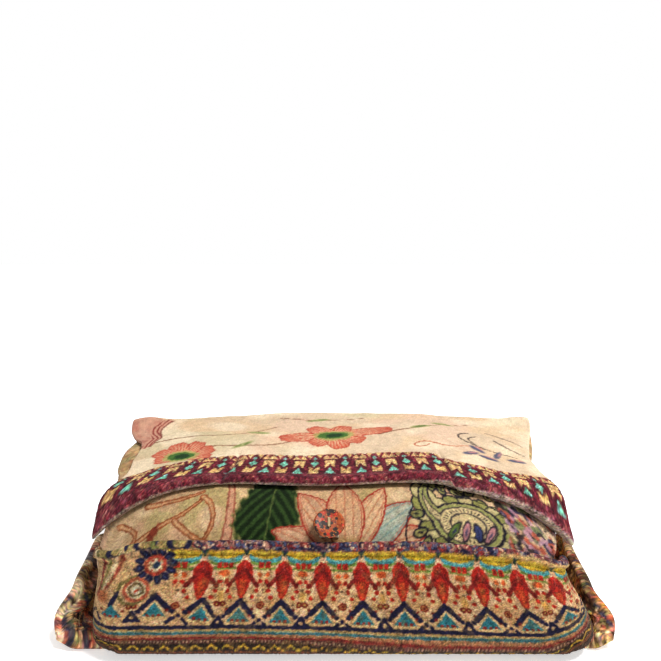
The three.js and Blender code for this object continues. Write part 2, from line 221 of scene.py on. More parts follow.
def arc_points(centre, radius, start, end):
    count = max(6, int(abs(end - start) * radius / 40))
    angle = np.radians(np.linspace(start, end, count + 1))
    return np.stack([centre[0] + radius * np.cos(angle), centre[1] + radius * np.sin(angle)], 1)


class Section:
    """A line in the YZ plane that a cloth follows, measured along its length."""

    def __init__(self, parts):
        points = np.concatenate(parts)
        steps = np.linalg.norm(np.diff(points, axis=0), axis=1)
        self.points = points[np.concatenate([[True], steps > 1e-6])]
        self.along = np.concatenate([[0], np.cumsum(steps[steps > 1e-6])])
        self.length = self.along[-1]

    def at(self, along):
        y = np.interp(along, self.along, self.points[:, 0])
        z = np.interp(along, self.along, self.points[:, 1])
        return y, z


def cloth_blank(columns, rows, back_columns, back_rows, edge_heights):
    """A flat cloth, one unit across, with its fine face at height 1, its coarse back at -1, and its
    edges stepping down from one to the other."""
    bm = bmesh.new()
    top = Matrix.Translation((0, 0, 1))
    bmesh.ops.create_grid(bm, x_segments=columns, y_segments=rows, size=0.5, matrix=top)
    edge = [item for item in bm.edges if item.is_boundary]
    for height in edge_heights:
        made = bmesh.ops.extrude_edge_only(bm, edges=edge)["geom"]
        edge = [item for item in made if isinstance(item, bmesh.types.BMEdge)]
        for item in made:
            if isinstance(item, bmesh.types.BMVert):
                item.co.z = height
    bottom = Matrix.Translation((0, 0, -1))
    bmesh.ops.create_grid(bm, x_segments=back_columns, y_segments=back_rows, size=0.5, matrix=bottom)
    edge = [item for item in bm.edges if item.is_boundary]
    bmesh.ops.bridge_loops(bm, edges=edge)
    bmesh.ops.recalc_face_normals(bm, faces=bm.faces)
    return bm


def vertex_places(mesh):
    places = np.empty(len(mesh.vertices) * 3)
    mesh.vertices.foreach_get("co", places)
    return places.reshape(-1, 3)


def directions(surface, across, along, turned):
    """The unit vectors across and along a cloth, and out of its fine face."""
    step = 0.6
    over = surface(across + step * turned, along) - surface(across - step * turned, along)
    up = surface(across, along + step) - surface(across, along - step)
    over /= np.linalg.norm(over, axis=1)[:, None] + 1e-9
    up /= np.linalg.norm(up, axis=1)[:, None] + 1e-9
    out = np.cross(over, up)
    out /= np.linalg.norm(out, axis=1)[:, None] + 1e-9
    return over, up, out


def level(a, b):
    return np.zeros(len(a))


def bend_cloth(name, across, along, back, surface, reach, relief=level, steps=EDGE_STEPS, nap=0.1):
    """A cloth with a vertex at every place of across and along on its fine face, and back columns
    and rows on its other face. reach gives how far its two faces stand from surface, relief how much
    the fine face rises, and nap how rough its pile stands there."""
    bm = cloth_blank(len(across) - 1, len(along) - 1, *back, steps)
    mesh = bpy.data.meshes.new(name)
    bm.to_mesh(mesh)
    bm.free()
    flat = vertex_places(mesh)
    a = np.interp(flat[:, 0], np.linspace(-0.5, 0.5, len(across)), across)
    b = np.interp(flat[:, 1], np.linspace(-0.5, 0.5, len(along)), along)
    side = flat[:, 2]
    turned = 1 if across[-1] > across[0] else -1
    over, up, out = directions(surface, a, b, turned)
    ahead, behind = reach(a, b)
    half = (ahead + behind) / 2
    bulge = np.sqrt(np.maximum(0, 1 - side**2)) * half * (np.abs(side) < 0.99)
    place = surface(a, b)
    rough = np.random.default_rng(len(a)).normal(0, 1, len(a)) * (nap(a, b) if callable(nap) else nap)
    rise = (relief(a, b) + np.clip(rough, -0.6, 0.6)) * (side + 1) / 2
    place += out * ((ahead - behind) / 2 + half * side + rise)[:, None]
    ends = np.where(np.abs(flat[:, 0]) > 0.4999, np.sign(flat[:, 0]), 0)
    hems = np.where(np.abs(flat[:, 1]) > 0.4999, np.sign(flat[:, 1]), 0)
    place += over * (ends * bulge)[:, None] + up * (hems * bulge)[:, None]
    place = (place + TO_FRAME) * MM
    mesh.vertices.foreach_set("co", place.ravel())
    mesh.polygons.foreach_set("use_smooth", [True] * len(mesh.polygons))
    mesh.update()
    cloth = bpy.data.objects.new(name, mesh)
    bpy.context.scene.collection.objects.link(cloth)
    return cloth, a, b, side


def spaced(*stretches):
    """Places along a line, from stretches of (from, to, spacing)."""
    places = [np.array([stretches[0][0]])]
    for start, end, spacing in stretches:
        count = max(1, round(abs(end - start) / spacing))
        places.append(np.linspace(start, end, count + 1)[1:])
    return np.concatenate(places)


# The cloth of the blanket

def blanket_section():
    """From the rear of the bottom layer, round the front, over the top, and back and forth inside."""
    low_turn = STACK_FRONT + TURN_LOW
    parts = [
        line_points((STACK_REAR - BASE_SHORT, BOTTOM_MIDDLE), (low_turn, BOTTOM_MIDDLE)),
        arc_points((low_turn, BOTTOM_MIDDLE + TURN_LOW), TURN_LOW, 270, 180),
        line_points((STACK_FRONT, BOTTOM_MIDDLE + TURN_LOW), (STACK_FRONT, ROUND_Z)),
        arc_points((ROUND_Y, ROUND_Z), TURN_HIGH, 180, 90),
        line_points((ROUND_Y, TOP_MIDDLE), (STACK_REAR, TOP_MIDDLE)),
    ]
    inside_front = TURN_HIGH - LAYER - 2.2 - PITCH / 2
    for run in range(1, RUNS - 1):
        height = TOP_MIDDLE - run * PITCH
        if run % 2 == 0:
            end = STACK_REAR - LAST_SHORT if run == RUNS - 2 else STACK_REAR
            parts.append(line_points(tuple(parts[-1][-1]), (end, height)))
            continue
        fold = height - PITCH / 2
        above = max(0, fold - ROUND_Z)
        below = max(0, BOTTOM_MIDDLE + TURN_LOW - fold)
        low_reach = TURN_LOW - math.sqrt(max(0, 15**2 - (0.5 * below) ** 2)) if below else 0
        front = ROUND_Y - math.sqrt(max(0, inside_front**2 - above**2)) + low_reach
        parts.append(arc_points((STACK_REAR, height + PITCH / 2), PITCH / 2, 90, -90))
        parts.append(line_points((STACK_REAR, height), (front, height)))
        parts.append(arc_points((front, fold), PITCH / 2, 90, 270))
    return Section(parts)


BLANKET = blanket_section()
# Where the outer layer comes out of its low turn, and where it goes round the front and over the top
FRONT_TURN = STACK_REAR - BASE_SHORT - (STACK_FRONT + TURN_LOW) + TURN_LOW * math.pi / 2
ROUND_START = FRONT_TURN + ROUND_Z - BOTTOM_MIDDLE - TURN_LOW
ROUND_END = ROUND_START + TURN_HIGH * math.pi / 2


# A cloth of the blanket is a hundred wide on each side of its middle, or this many millimetres each
ACROSS_MM = 1.88


def blanket_surface(share, along):
    """share runs from -1 at the left end to 1 at the right one, times a hundred."""
    share = share / 100
    y, height = BLANKET.at(along)
    end = np.sign(share)
    far = np.abs(share)
    uneven = 2.6 * np.sin(height / 9 + y / 160 + end)
    upper = np.where(end < 0, smooth(35, 90, height), 0)
    plain = np.where(end < 0, STACK_LEFT, STACK_RIGHT)
    at_right = np.where(end > 0, smooth(84, 104, height) * smooth(-50, -85, y), 0)
    half = blend(plain, np.interp(y, SIDE_Y, UPPER_LAYERS), upper) + FRONT_RIGHT * at_right
    corner = 13 * smooth(0.86, 1.04, far) * smooth(-40, STACK_FRONT, y)
    droop = (STACK_DROOP / TOP_MIDDLE) * smooth(0.72, 1, far) * (1 - upper * smooth(-70, 0, y))
    base = CLOTH + SEAM_GAP
    turn = np.clip((far - END_FROM) / 0.09, 0, 1) * np.where(end < 0, math.pi / 2, 0)
    shown = smooth(78, 96, height) * smooth(-60, -82, y)
    across = np.minimum(far, END_FROM) * half + blend(3, END_TURN, shown) * np.sin(turn)
    behind = blend(1, END_TURN, shown) * (1 - np.cos(turn))
    return settle(
        end * (across + uneven * np.minimum(far, 1) ** 6),
        y + corner + behind,
        base + (height - base) * (1 - droop),
    )


# The pouch's back panel and flap

def back_section():
    low = CLOTH / 2
    bottom_turn = REAR_WALL - REAR_LOW_TURN
    top_turn = REAR_WALL - REAR_HIGH_TURN
    over = FLAP_HEIGHT - REAR_HIGH_TURN
    return Section(
        [
            line_points((BACK_FRONT, low), (bottom_turn, low)),
            arc_points((bottom_turn, low + REAR_LOW_TURN), REAR_LOW_TURN, -90, 0),
            line_points((REAR_WALL, low + REAR_LOW_TURN), (REAR_WALL, over)),
            arc_points((top_turn, over), REAR_HIGH_TURN, 0, 90),
            line_points((top_turn, FLAP_HEIGHT), (ROUND_Y, FLAP_HEIGHT)),
            arc_points((ROUND_Y, ROUND_Z), ROUNDING, 90, 180 - HEM_ANGLE),
        ]
    )


BACK = back_section()
REAR_TURN = REAR_WALL - REAR_LOW_TURN - BACK_FRONT


def floor_place(across, y, z):
    """Where the back panel lies on the floor, its side edges curled up as wings."""
    wing = smooth(BACK_FRONT - 6, -66, y) * smooth(100, 0, y)
    forward = smooth(BACK_FRONT, -66, y)
    past = blend(WING_SHORT, WING_LONG, wing) * smooth(110, 60, y)
    floor = np.where(across < 0, FLOOR_LEFT, FLOOR_RIGHT)
    cloth = np.abs(across) / ACROSS * (floor + past)
    beyond = np.maximum(0, cloth - floor)
    curl = blend(WING_FLARE, np.where(across < 0, WING_CURL_LEFT, WING_CURL_RIGHT), forward)
    turned = np.minimum(beyond / WING_TURN, curl)
    rest = beyond - turned * WING_TURN
    x = np.minimum(cloth, floor) + WING_TURN * np.sin(turned) + rest * np.cos(turned)
    lift = WING_TURN * (1 - np.cos(turned)) + rest * np.sin(turned)
    return np.sign(across) * x, y, z + lift


def flap_place(across, y, z):
    """Where the flap lies, its hem wrapped further down at the ends and past the right pleat."""
    side = np.where(across < 0, np.interp(y, SIDE_Y, SIDE_LEFT), np.interp(y, SIDE_Y, SIDE_RIGHT))
    hang = np.where(y < ROUND_Y, np.arctan2(ROUND_Y - y, z - ROUND_Z), 0)
    stepped = HEM_STEP * smooth(STEP_FROM, STEP_TO, across)
    wrapped = hang * (HEM_WRAP * (across / ACROSS) ** 4 + stepped)
    from_y = y - ROUND_Y
    from_z = z - ROUND_Z
    turned_y = from_y * np.cos(wrapped) - from_z * np.sin(wrapped)
    turned_z = from_y * np.sin(wrapped) + from_z * np.cos(wrapped)
    return across / ACROSS * side, ROUND_Y + turned_y, ROUND_Z + turned_z


def back_surface(across, along):
    y, z = BACK.at(along)
    low = np.stack(floor_place(across, y, z), 1)
    high = np.stack(flap_place(across, y, z), 1)
    x, y, z = blend(high, low, smooth(13, 2, z)[:, None]).T
    return settle(x, y, z)


# The pocket

def pocket_surface(across, along):
    """across runs along the front and round both ends; along is a hundred at the mouth."""
    straight_end = np.where(across < 0, POCKET_LEFT, POCKET_RIGHT) - POCKET_CORNER
    beyond = np.maximum(0, np.abs(across) - straight_end)
    angle = np.minimum(beyond / POCKET_CORNER, math.pi / 2)
    straight = np.sign(across) * np.minimum(np.abs(across), straight_end)
    out_x = np.sign(across) * np.sin(angle)
    out_y = -np.cos(angle)
    corner = angle / (math.pi / 2)
    v = along / 100
    tuck_from = np.radians(blend(4.0, 58.0, smooth(0, 0.3, angle)))
    tuck = blend(tuck_from, math.pi / 2, np.minimum(1, v / TUCK_SHARE))
    inward = TUCK * (1 - np.sin(tuck))
    low = CLOTH / 2 + 0.4 + TUCK * (1 - np.cos(tuck))
    near_end = smooth(100, 185, np.abs(straight + out_x * POCKET_CORNER))
    mouth_end = np.where(across < 0, MOUTH_LEFT_ANGLE, MOUTH_RIGHT_ANGLE)
    tip = MOUTH_LEFT_TIP * smooth(-172, -190, straight + out_x * POCKET_CORNER)
    mouth = np.radians(blend(MOUTH_ANGLE, mouth_end, near_end) + tip)
    upright = ROUND_Z - (CLOTH / 2 + 0.4 + TUCK)
    rise = np.maximum(0, (v - TUCK_SHARE) / (1 - TUCK_SHARE)) * (upright + ROUNDING * mouth)
    lean = np.maximum(0, rise - upright) / ROUNDING
    height = low + np.minimum(rise, upright) + ROUNDING * np.sin(lean)
    back = ROUNDING * (1 - np.cos(lean)) * (1 - 0.7 * corner)
    x = straight + out_x * (POCKET_CORNER - inward)
    return settle(
        x - POCKET_OUT * smooth(15, 110, height) * smooth(-90, -185, x),
        POCKET_FACE + POCKET_CORNER + out_y * (POCKET_CORNER - inward) + back,
        height,
    )


# Finishes

def add_node(tree, kind, **values):
    """A node of that kind, with values on its inputs."""
    node = tree.nodes.new("ShaderNode" + kind)
    for name, value in values.items():
        node.inputs[name].default_value = value
    return node


def add_material(name, roughness, specular=0.5):
    """A new material, with its node tree and its shader."""
    material = bpy.data.materials.new(name)
    material.use_nodes = True
    tree = material.node_tree
    shader = tree.nodes["Principled BSDF"]
    shader.inputs["Roughness"].default_value = roughness
    shader.inputs["Specular IOR Level"].default_value = specular
    return material, tree, shader


def plush_group():
    """Short nap: its colour breaks up in soft patches and fine tufts, the tufts painted lighter where the
    bump rises and darker where it dips, as painted light and shade.
    """
    tree = bpy.data.node_groups.new("plush nap", "ShaderNodeTree")
    for name, way, kind in (
        ("Colour", "INPUT", "Color"),
        ("Patches", "INPUT", "Float"),
        ("Tufts", "INPUT", "Float"),
        ("Colour", "OUTPUT", "Color"),
        ("Height", "OUTPUT", "Float"),
    ):
        tree.interface.new_socket(name, in_out=way, socket_type="NodeSocket" + kind)
    link = tree.links.new
    given = tree.nodes.new("NodeGroupInput")
    result = tree.nodes.new("NodeGroupOutput")
    place = add_node(tree, "TexCoord")
    patches = add_node(tree, "TexNoise", Scale=170, Detail=3)
    tufts = add_node(tree, "TexNoise", Scale=900, Detail=2)
    total = None
    # The patches are tone that differs at random; the tufts' noise also gives the bump its height, so their
    # brightness is painted light and shade.
    for noise, amount in ((patches, "Patches"), (tufts, "Tufts")):
        link(place.outputs["Object"], noise.inputs["Vector"])
        centred = add_node(tree, "Math")
        centred.operation = "SUBTRACT"
        centred.inputs[1].default_value = 0.5
        link(noise.outputs["Fac"], centred.inputs[0])
        scaled = add_node(tree, "Math")
        scaled.operation = "MULTIPLY_ADD"
        link(centred.outputs[0], scaled.inputs[0])
        link(given.outputs[amount], scaled.inputs[1])
        if total is None:
            scaled.inputs[2].default_value = 1
        else:
            link(total.outputs[0], scaled.inputs[2])
        total = scaled
    bright = add_node(tree, "VectorMath")
    bright.operation = "SCALE"
    link(given.outputs["Colour"], bright.inputs[0])
    link(total.outputs[0], bright.inputs["Scale"])
    link(bright.outputs["Vector"], result.inputs["Colour"])
    link(tufts.outputs["Fac"], result.inputs["Height"])
    return tree


PLUSH = plush_group()


def plush_material(name, patches=0.4, tufts=0.5, bump=0.0006):
    """Printed plush, with its print in the cloth's own colours."""
    material, tree, shader = add_material(name, 0.92, 0.05)
    link = tree.links.new
    shader.inputs["Sheen Weight"].default_value = 0.06
    shader.inputs["Sheen Roughness"].default_value = 0.45
    printed = add_node(tree, "Attribute")
    printed.attribute_name = "print"
    nap = tree.nodes.new("ShaderNodeGroup")
    nap.node_tree = PLUSH
    nap.inputs["Patches"].default_value = patches
    nap.inputs["Tufts"].default_value = tufts
    bumps = add_node(tree, "Bump", Distance=bump, Strength=1.0)
    link(printed.outputs["Color"], nap.inputs["Colour"])
    link(nap.outputs["Colour"], shader.inputs["Base Color"])
    link(nap.outputs["Height"], bumps.inputs["Height"])
    link(bumps.outputs["Normal"], shader.inputs["Normal"])
    return material


def wood_material():
    """Turned wood with a small all-over print of red, dark and amber spots."""
    material, tree, shader = add_material("printed wood", 0.5, 0.25)
    link = tree.links.new
    place = add_node(tree, "TexCoord")
    grain = add_node(tree, "TexNoise", Scale=260, Detail=4)
    wood = add_node(tree, "ValToRGB")
    dark, light = wood.color_ramp.elements
    dark.position = 0.35
    dark.color = (0.20, 0.030, 0.010, 1)
    light.position = 0.66
    light.color = (0.40, 0.085, 0.018, 1)
    link(place.outputs["Object"], grain.inputs["Vector"])
    link(grain.outputs["Fac"], wood.inputs["Fac"])
    colour = wood.outputs["Color"]
    for scale, reach, paint in (
        (235, 0.42, (0.42, 0.028, 0.012, 1)),
        (205, 0.44, (0.030, 0.018, 0.014, 1)),
        (520, 0.24, (0.45, 0.22, 0.06, 1)),
        (640, 0.27, (0.020, 0.012, 0.014, 1)),
    ):
        spots = add_node(tree, "TexVoronoi", Scale=scale)
        cover = add_node(tree, "MapRange")
        cover.inputs["From Min"].default_value = reach
        cover.inputs["From Max"].default_value = reach - 0.07
        painted = add_node(tree, "Mix")
        painted.data_type = "RGBA"
        painted.inputs["B"].default_value = paint
        link(place.outputs["Object"], spots.inputs["Vector"])
        link(spots.outputs["Distance"], cover.inputs["Value"])
        link(cover.outputs["Result"], painted.inputs["Factor"])
        link(colour, painted.inputs["A"])
        colour = painted.outputs["Result"]
    link(colour, shader.inputs["Base Color"])
    return material


def yarn_material(name, colour, scale):
    """Cream yarn, lighter and darker strand by strand, with painted shade where the bump dips between
    strands.
    """
    material, tree, shader = add_material(name, 0.85)
    link = tree.links.new
    place = add_node(tree, "TexCoord")
    strands = add_node(tree, "TexWave", Scale=scale, Distortion=2)
    # Painted shade: the waves that raise the bump also darken the colour in the grooves between strands.
    shades = add_node(tree, "ValToRGB")
    shades.color_ramp.elements[0].color = [value * 0.6 for value in colour] + [1]
    shades.color_ramp.elements[1].color = list(colour) + [1]
    bumps = add_node(tree, "Bump", Distance=0.0003)
    link(place.outputs["Object"], strands.inputs["Vector"])
    link(strands.outputs["Fac"], shades.inputs["Fac"])
    link(strands.outputs["Fac"], bumps.inputs["Height"])
    link(shades.outputs["Color"], shader.inputs["Base Color"])
    link(bumps.outputs["Normal"], shader.inputs["Normal"])
    return material


def finish_node(name, material):
    for slot in bpy.data.objects[name].material_slots:
        slot.material = material


def finish_small_parts():
    finish_node("button", wood_material())
    finish_node("button_tab", yarn_material("cream tape", (0.80, 0.66, 0.45), 300))
    finish_node("button_thread", yarn_material("cream thread", (0.60, 0.42, 0.22), 500))


# Prints

def shade(code):
    """A colour from its hex code, as three values from 0 to 1."""
    return np.array([int(code[n : n + 2], 16) for n in (1, 3, 5)]) / 255


class Print:
    """Colours laid on a cloth one over another, at places x, y on it in millimetres. Its mottles
    follow the cloth's place in the pack, so that none is drawn out round an edge."""

    def __init__(self, cloth, x, y, ground, seed, wobble=0.55):
        self.place = vertex_places(cloth.data) / MM
        self.x = x + wobble * lumps(x, y, 2.3, seed) + 0.5 * wobble * lumps(x, y, 1.1, seed + 1)
        self.y = y + wobble * lumps(x, y, 2.1, seed + 2) + 0.5 * wobble * lumps(x, y, 1.2, seed + 3)
        self.seed = seed
        self.colour = np.tile(shade(ground), (len(x), 1))

    def lay(self, code, inside, edge=0.45, strength=1.0):
        """Lays a colour where inside, a distance in millimetres, is below zero."""
        cover = np.clip(0.5 - inside / (2 * edge), 0, 1) * strength
        self.colour += (shade(code) - self.colour) * cover[:, None]

    def mottle(self, cell, share, seed):
        """Spots of about that size over about that share of the cloth, as distances for lay."""
        across, back, up = self.place.T
        found = lumps(across + 0.6 * back, up - 0.7 * back, cell, self.seed + seed)
        found += lumps(across - 0.5 * back, up + 0.9 * back, cell, self.seed + seed + 7)
        return (1 - 2 * share) * 0.55 - 0.72 * found

    def mottles(self, *rows, within=-1e3, edge=0.18):
        """Lays spots of colour where within is below zero. A row is a colour, the spots' size, the
        share that they cover, a seed and a strength."""
        for code, cell, share, seed, strength in rows:
            self.lay(code, both(self.mottle(cell, share, seed), within), edge, strength)

    def grain(self, amount, seed=50):
        """Tufts that catch more or less light, one by one and in small groups."""
        random = np.random.default_rng(self.seed + seed)
        tuft = random.normal(0, 1, len(self.x))
        group = -self.mottle(2.4, 0.5, seed)
        self.colour *= np.clip(1 + amount * (0.6 * tuft + 0.7 * group), 0.25, 1.7)[:, None]
        tint = random.normal(0, 1, (len(self.x), 3))
        self.colour *= 1 + 0.16 * np.reshape(amount, (-1, 1)) * tint

    def keep(self, cloth, depth):
        """Keeps the colours in the cloth, dyed as deep as that share."""
        colour = np.clip(self.colour, 0, 1)
        linear = np.where(colour <= 0.04045, colour / 12.92, ((colour + 0.055) / 1.055) ** 2.4)
        linear = linear * depth
        values = np.concatenate([linear, np.ones((len(linear), 1))], 1)
        layer = cloth.data.attributes.new("print", "FLOAT_COLOR", "POINT")
        layer.data.foreach_set("color", values.ravel())


def both(first, second):
    """Where two shapes overlap."""
    return np.maximum(first, second)


def rim(shape, half):
    """A line along a shape's outline, that far to each side of it."""
    return np.abs(shape) - half


def turned(x, y, at_x, at_y, turn):
    """Places seen from at_x, at_y along a direction turned by that many degrees, and across it."""
    angle = math.radians(turn)
    along = (x - at_x) * math.cos(angle) + (y - at_y) * math.sin(angle)
    aside = (y - at_y) * math.cos(angle) - (x - at_x) * math.sin(angle)
    return along, aside


def disc(x, y, at_x, at_y, radius):
    return np.hypot(x - at_x, y - at_y) - radius


def oval(x, y, at_x, at_y, half_x, half_y, turn=0.0):
    along, aside = turned(x, y, at_x, at_y, turn)
    return (np.hypot(along / half_x, aside / half_y) - 1) * min(half_x, half_y)


def bar(x, y, start, end, thick):
    """A round-ended stroke from start to end."""
    along_x = end[0] - start[0]
    along_y = end[1] - start[1]
    share = ((x - start[0]) * along_x + (y - start[1]) * along_y) / (along_x**2 + along_y**2)
    share = np.clip(share, 0, 1)
    return np.hypot(x - start[0] - share * along_x, y - start[1] - share * along_y) - thick / 2


def stroke(x, y, points, thick):
    """A stroke through several points, thinner towards its last one."""
    found = np.full(len(x), 1e3)
    for n, (start, end) in enumerate(zip(points, points[1:])):
        found = np.minimum(found, bar(x, y, start, end, thick * (1 - 0.5 * n / len(points))))
    return found


def curve(points, count=14):
    """Places on a smooth line from the first point to the last, drawn towards those between."""
    share = np.linspace(0, 1, count)[:, None]
    lines = [np.array(point, float) * np.ones((count, 2)) for point in points]
    while len(lines) > 1:
        lines = [blend(start, end, share) for start, end in zip(lines, lines[1:])]
    return [tuple(point) for point in lines[0]]


def block(x, y, at_x, at_y, half_x, half_y):
    return both(rim(x - at_x, half_x), rim(y - at_y, half_y))


def diamond(x, y, at_y, half_x, half_y, slope):
    return np.abs(x) / half_x * slope + np.abs(y - at_y) / half_y * slope - slope


def wedge(x, y, at_x, base, tip, half):
    """A triangle on its base, with its tip above or below it."""
    share = (y - base) / (tip - base)
    sides = rim(x - at_x, half * (1 - share))
    return both(sides, both(-share, share - 1) * abs(tip - base))


def band(y, low, high):
    return rim(y - (low + high) / 2, (high - low) / 2)


def places_round(count, at_x, at_y, half_x, half_y, start=0):
    """Places evenly round an oval, each with its turn in degrees."""
    turns = [360 / count * n + start for n in range(count)]
    return [
        (at_x + half_x * math.cos(math.radians(turn)), at_y + half_y * math.sin(math.radians(turn)), turn)
        for turn in turns
    ]


NAVY = "#1F1D35"
TEAL = "#2F747C"
TAN = "#CFA06F"
CREAM = "#E6BE92"
YELLOW = "#CFA229"
GREEN = "#54762B"
RED = "#AC281D"
ORANGE = "#BF5128"
MAROON = "#6F1D18"
DARK = "#33221D"
INK = "#1E1B26"
STRAW = "#D3AC74"
BRICK = "#7A2A24"
SAND = "#D6B48A"
LILAC = "#B97E7C"

# The border's repeat along the pocket, and a drop's place in it
DROP_PITCH = 32.4
DROP_AT = -13.1


def print_pocket(p):
    """A folk border: drops under a row of scallops, chevrons and triangles on a line, and stripes."""
    x = p.x
    half = DROP_PITCH / 2
    base = 31 - 5.5 * smooth(-60, 90, x)
    y = 31 + (p.y - base) * 62 / (93 - base)
    y = y - 20 * smooth(150, 212, x) * smooth(80, 40, y)
    u = np.mod(x - DROP_AT + half, DROP_PITCH) - half
    far = np.abs(u)
    gap = half - far
    even = np.mod(np.floor((x - DROP_AT) / DROP_PITCH), 2) < 0.5
    hidden = np.where(even, -50, 50)
    shown = -hidden
    p.mottles(("#DDB284", 9, 0.45, 1, 0.6), ("#BE8A50", 7, 0.3, 2, 0.4), (CREAM, 5, 0.18, 3, 0.6))
    field = block(x, y, -165, 74, 36 - 0.2 * (y - 60), 21)
    field = np.minimum(field, block(x, y, -190, 60, 8, 30))
    print_drops(p, far, gap, y, shown, hidden)
    print_scallops(p, far, gap, y, shown, hidden)
    print_left_end(p, x, y, field)
    at_x = x - 3.2 * smooth(-85, -108, x) + 2.4 * smooth(-122, -138, x)
    far_too = np.abs(np.mod(at_x - DROP_AT + half, DROP_PITCH) - half)
    print_chevrons(p, x, far_too, half - far_too, y - 5.5 * smooth(-92, -135, x), shown, hidden)
    print_stripes(p, x, y)
    print_roll(p, x, y)


def print_roll(p, x, y):
    """The rolled mouth: navy mottled with red, pink and cream, olive curls at its left end."""
    above = 93.4 - y
    p.lay("#4C2F38", above, 0.6)
    p.mottles(
        ("#8E4A48", 4.2, 0.42, 21, 0.85),
        ("#1E1D33", 4.4, 0.50, 22, 0.95),
        ("#B07A66", 2.4, 0.16, 23, 0.8),
        ("#8C2B28", 3.0, 0.20, 24, 0.8),
        ("#4B5570", 2.4, 0.14, 25, 0.8),
        ("#D9B58C", 1.8, 0.10, 26, 0.8),
        within=above * 0.2,
        edge=0.16,
    )
    left = both(x + 119 + 6 * lumps(y, y, 3, 5), above)
    p.lay("#A08852", left, 0.8)
    for at, code in (
        (-182, "#6F6B3A"),
        (-170, NAVY),
        (-161, "#C7AC78"),
        (-150, NAVY),
        (-139, "#6B6A3A"),
        (-128, NAVY),
    ):
        p.lay(code, both(rim(oval(x, y, at, 98, 6.5, 5.5, 20), 1.5), left), 0.5)
    for at, code in ((-206, BRICK), (-201, SAND), (-196, "#6B2420"), (-191, SAND)):
        p.lay(code, both(rim(x - at + 0.4 * (y - 95), 1.7), left), 0.5)
    right = both(136 - x, 92.6 - y)
    p.lay("#CDA765", both(right, y - 95.8), 1.0, 0.85)


def print_drops(p, far, gap, y, shown, hidden):
    """Red drops with two leaves each, and small spots in the gaps, every other gap the same."""
    halo_wide = 8.8 * np.sqrt(np.clip((89 - y) / 12, 0, 1)) * np.clip((y - 54) / 16, 0, 1) ** 0.5
    p.lay("#E3AE8A", both(far - halo_wide, band(y, 62, 89)), 0.8, 0.85)
    wide = 7.1 * np.sqrt(np.clip((85.5 - y) / 7, 0, 1)) * np.clip((y - 54) / 19, 0, 1) ** 0.6
    inside = both(far - wide, band(y, 54.5, 85.5))
    p.lay(RED, inside, 0.5)
    p.lay("#8E1C1A", both(inside + 2.2, -(inside + 3.8)), 0.6, 0.6)
    p.lay(ORANGE, both(far - wide * 0.45, band(y, 57, 70)), 0.9, 0.75)
    p.lay("#7A1F1C", bar(far, y, (0, 79), (11.2, 66.0), 3.6), 0.5, 0.95)
    p.lay("#B4524A", bar(far, y, (0, 83), (0, 79), 1.2), 0.6, 0.6)
    p.lay(ORANGE, both(oval(gap, y, 0, 75.5, 4.2, 2.6), shown), 0.5)
    p.lay(ORANGE, both(disc(gap, y, 3.1, 74.5, 2.0), hidden), 0.5)
    p.lay(RED, disc(gap, y, 2.6, 69.2, 1.9), 0.45)
    p.lay(MAROON, disc(gap, y, 5.2, 66.2, 2.2), 0.45, 0.9)
    p.lay("#C26A46", disc(gap, y, 0, 66, 1.3), 0.5, 0.6)
    p.lay(RED, disc(gap, y, 4.6, 61.6, 1.9), 0.4)
    p.lay(RED, disc(gap, y, 7.4, 56.4, 1.8), 0.4)
    p.lay("#D99A3C", both(oval(gap, y, 0, 57, 2.6, 5), shown), 1.2, 0.6)
    p.lay(MAROON, both(disc(gap, y, 2.2, 50.4, 2.5), shown), 0.45)
    p.lay("#B98A4A", both(disc(gap, y, 2.2, 50.4, 0.9), shown), 0.4)
    p.lay(MAROON, both(disc(gap, y, 0, 49.6, 3.3), hidden), 0.45)
    p.lay("#C08046", both(rim(disc(gap, y, 0, 49.6, 1.8), 0.4), hidden), 0.4, 0.9)
    p.lay(MAROON, disc(gap, y, 6.0, 46.0, 1.2), 0.4, 0.9)
    p.lay(DARK, disc(gap, y, 0, 62.4, 1.0), 0.4, 0.7)


def print_scallops(p, far, gap, y, shown, hidden):
    """Yellow, teal and green scallops over red squares."""
    low = 86.6 + 5.5 * (gap / (DROP_PITCH / 2)) ** 2.4
    p.lay(GREEN, both(band(y, 78.2, 80.2), gap - 9), 0.6, 0.9)
    p.lay(GREEN, both(rim(y - low + 4.6, 1.3), gap - 12.5), 0.6, 0.85)
    p.lay("#3D8C90", both(rim(y - low + 1.6, 1.9), 2.6 - far), 0.6)
    p.lay("#76A9A2", both(rim(y - low + 0.9, 0.7), 4 - far), 0.6, 0.7)
    yellow = both(low - y, y - 94)
    p.lay(YELLOW, yellow, 0.6)
    p.lay("#C98F3E", both(yellow, 91.8 - y), 0.9, 0.8)
    p.lay("#E2C24A", both(yellow + 1.6, gap - 8), 0.8, 0.6)
    for at in (0.0, 4.6):
        p.lay(RED, both(block(gap, y, at, 81.6, 1.8, 2.2), shown), 0.45)
    p.lay(RED, both(block(gap, y, 2.6, 81.8, 2.0, 2.4), hidden), 0.45)
    p.lay(MAROON, both(disc(gap, y, 2.6, 81.8, 0.8), hidden), 0.4, 0.8)
    p.lay("#30503A", wedge(far, y, 0, 94, 88.4, 3.4), 0.6)
    p.lay(NAVY, wedge(far, y, 0, 95, 90.4, 2.2), 0.6)


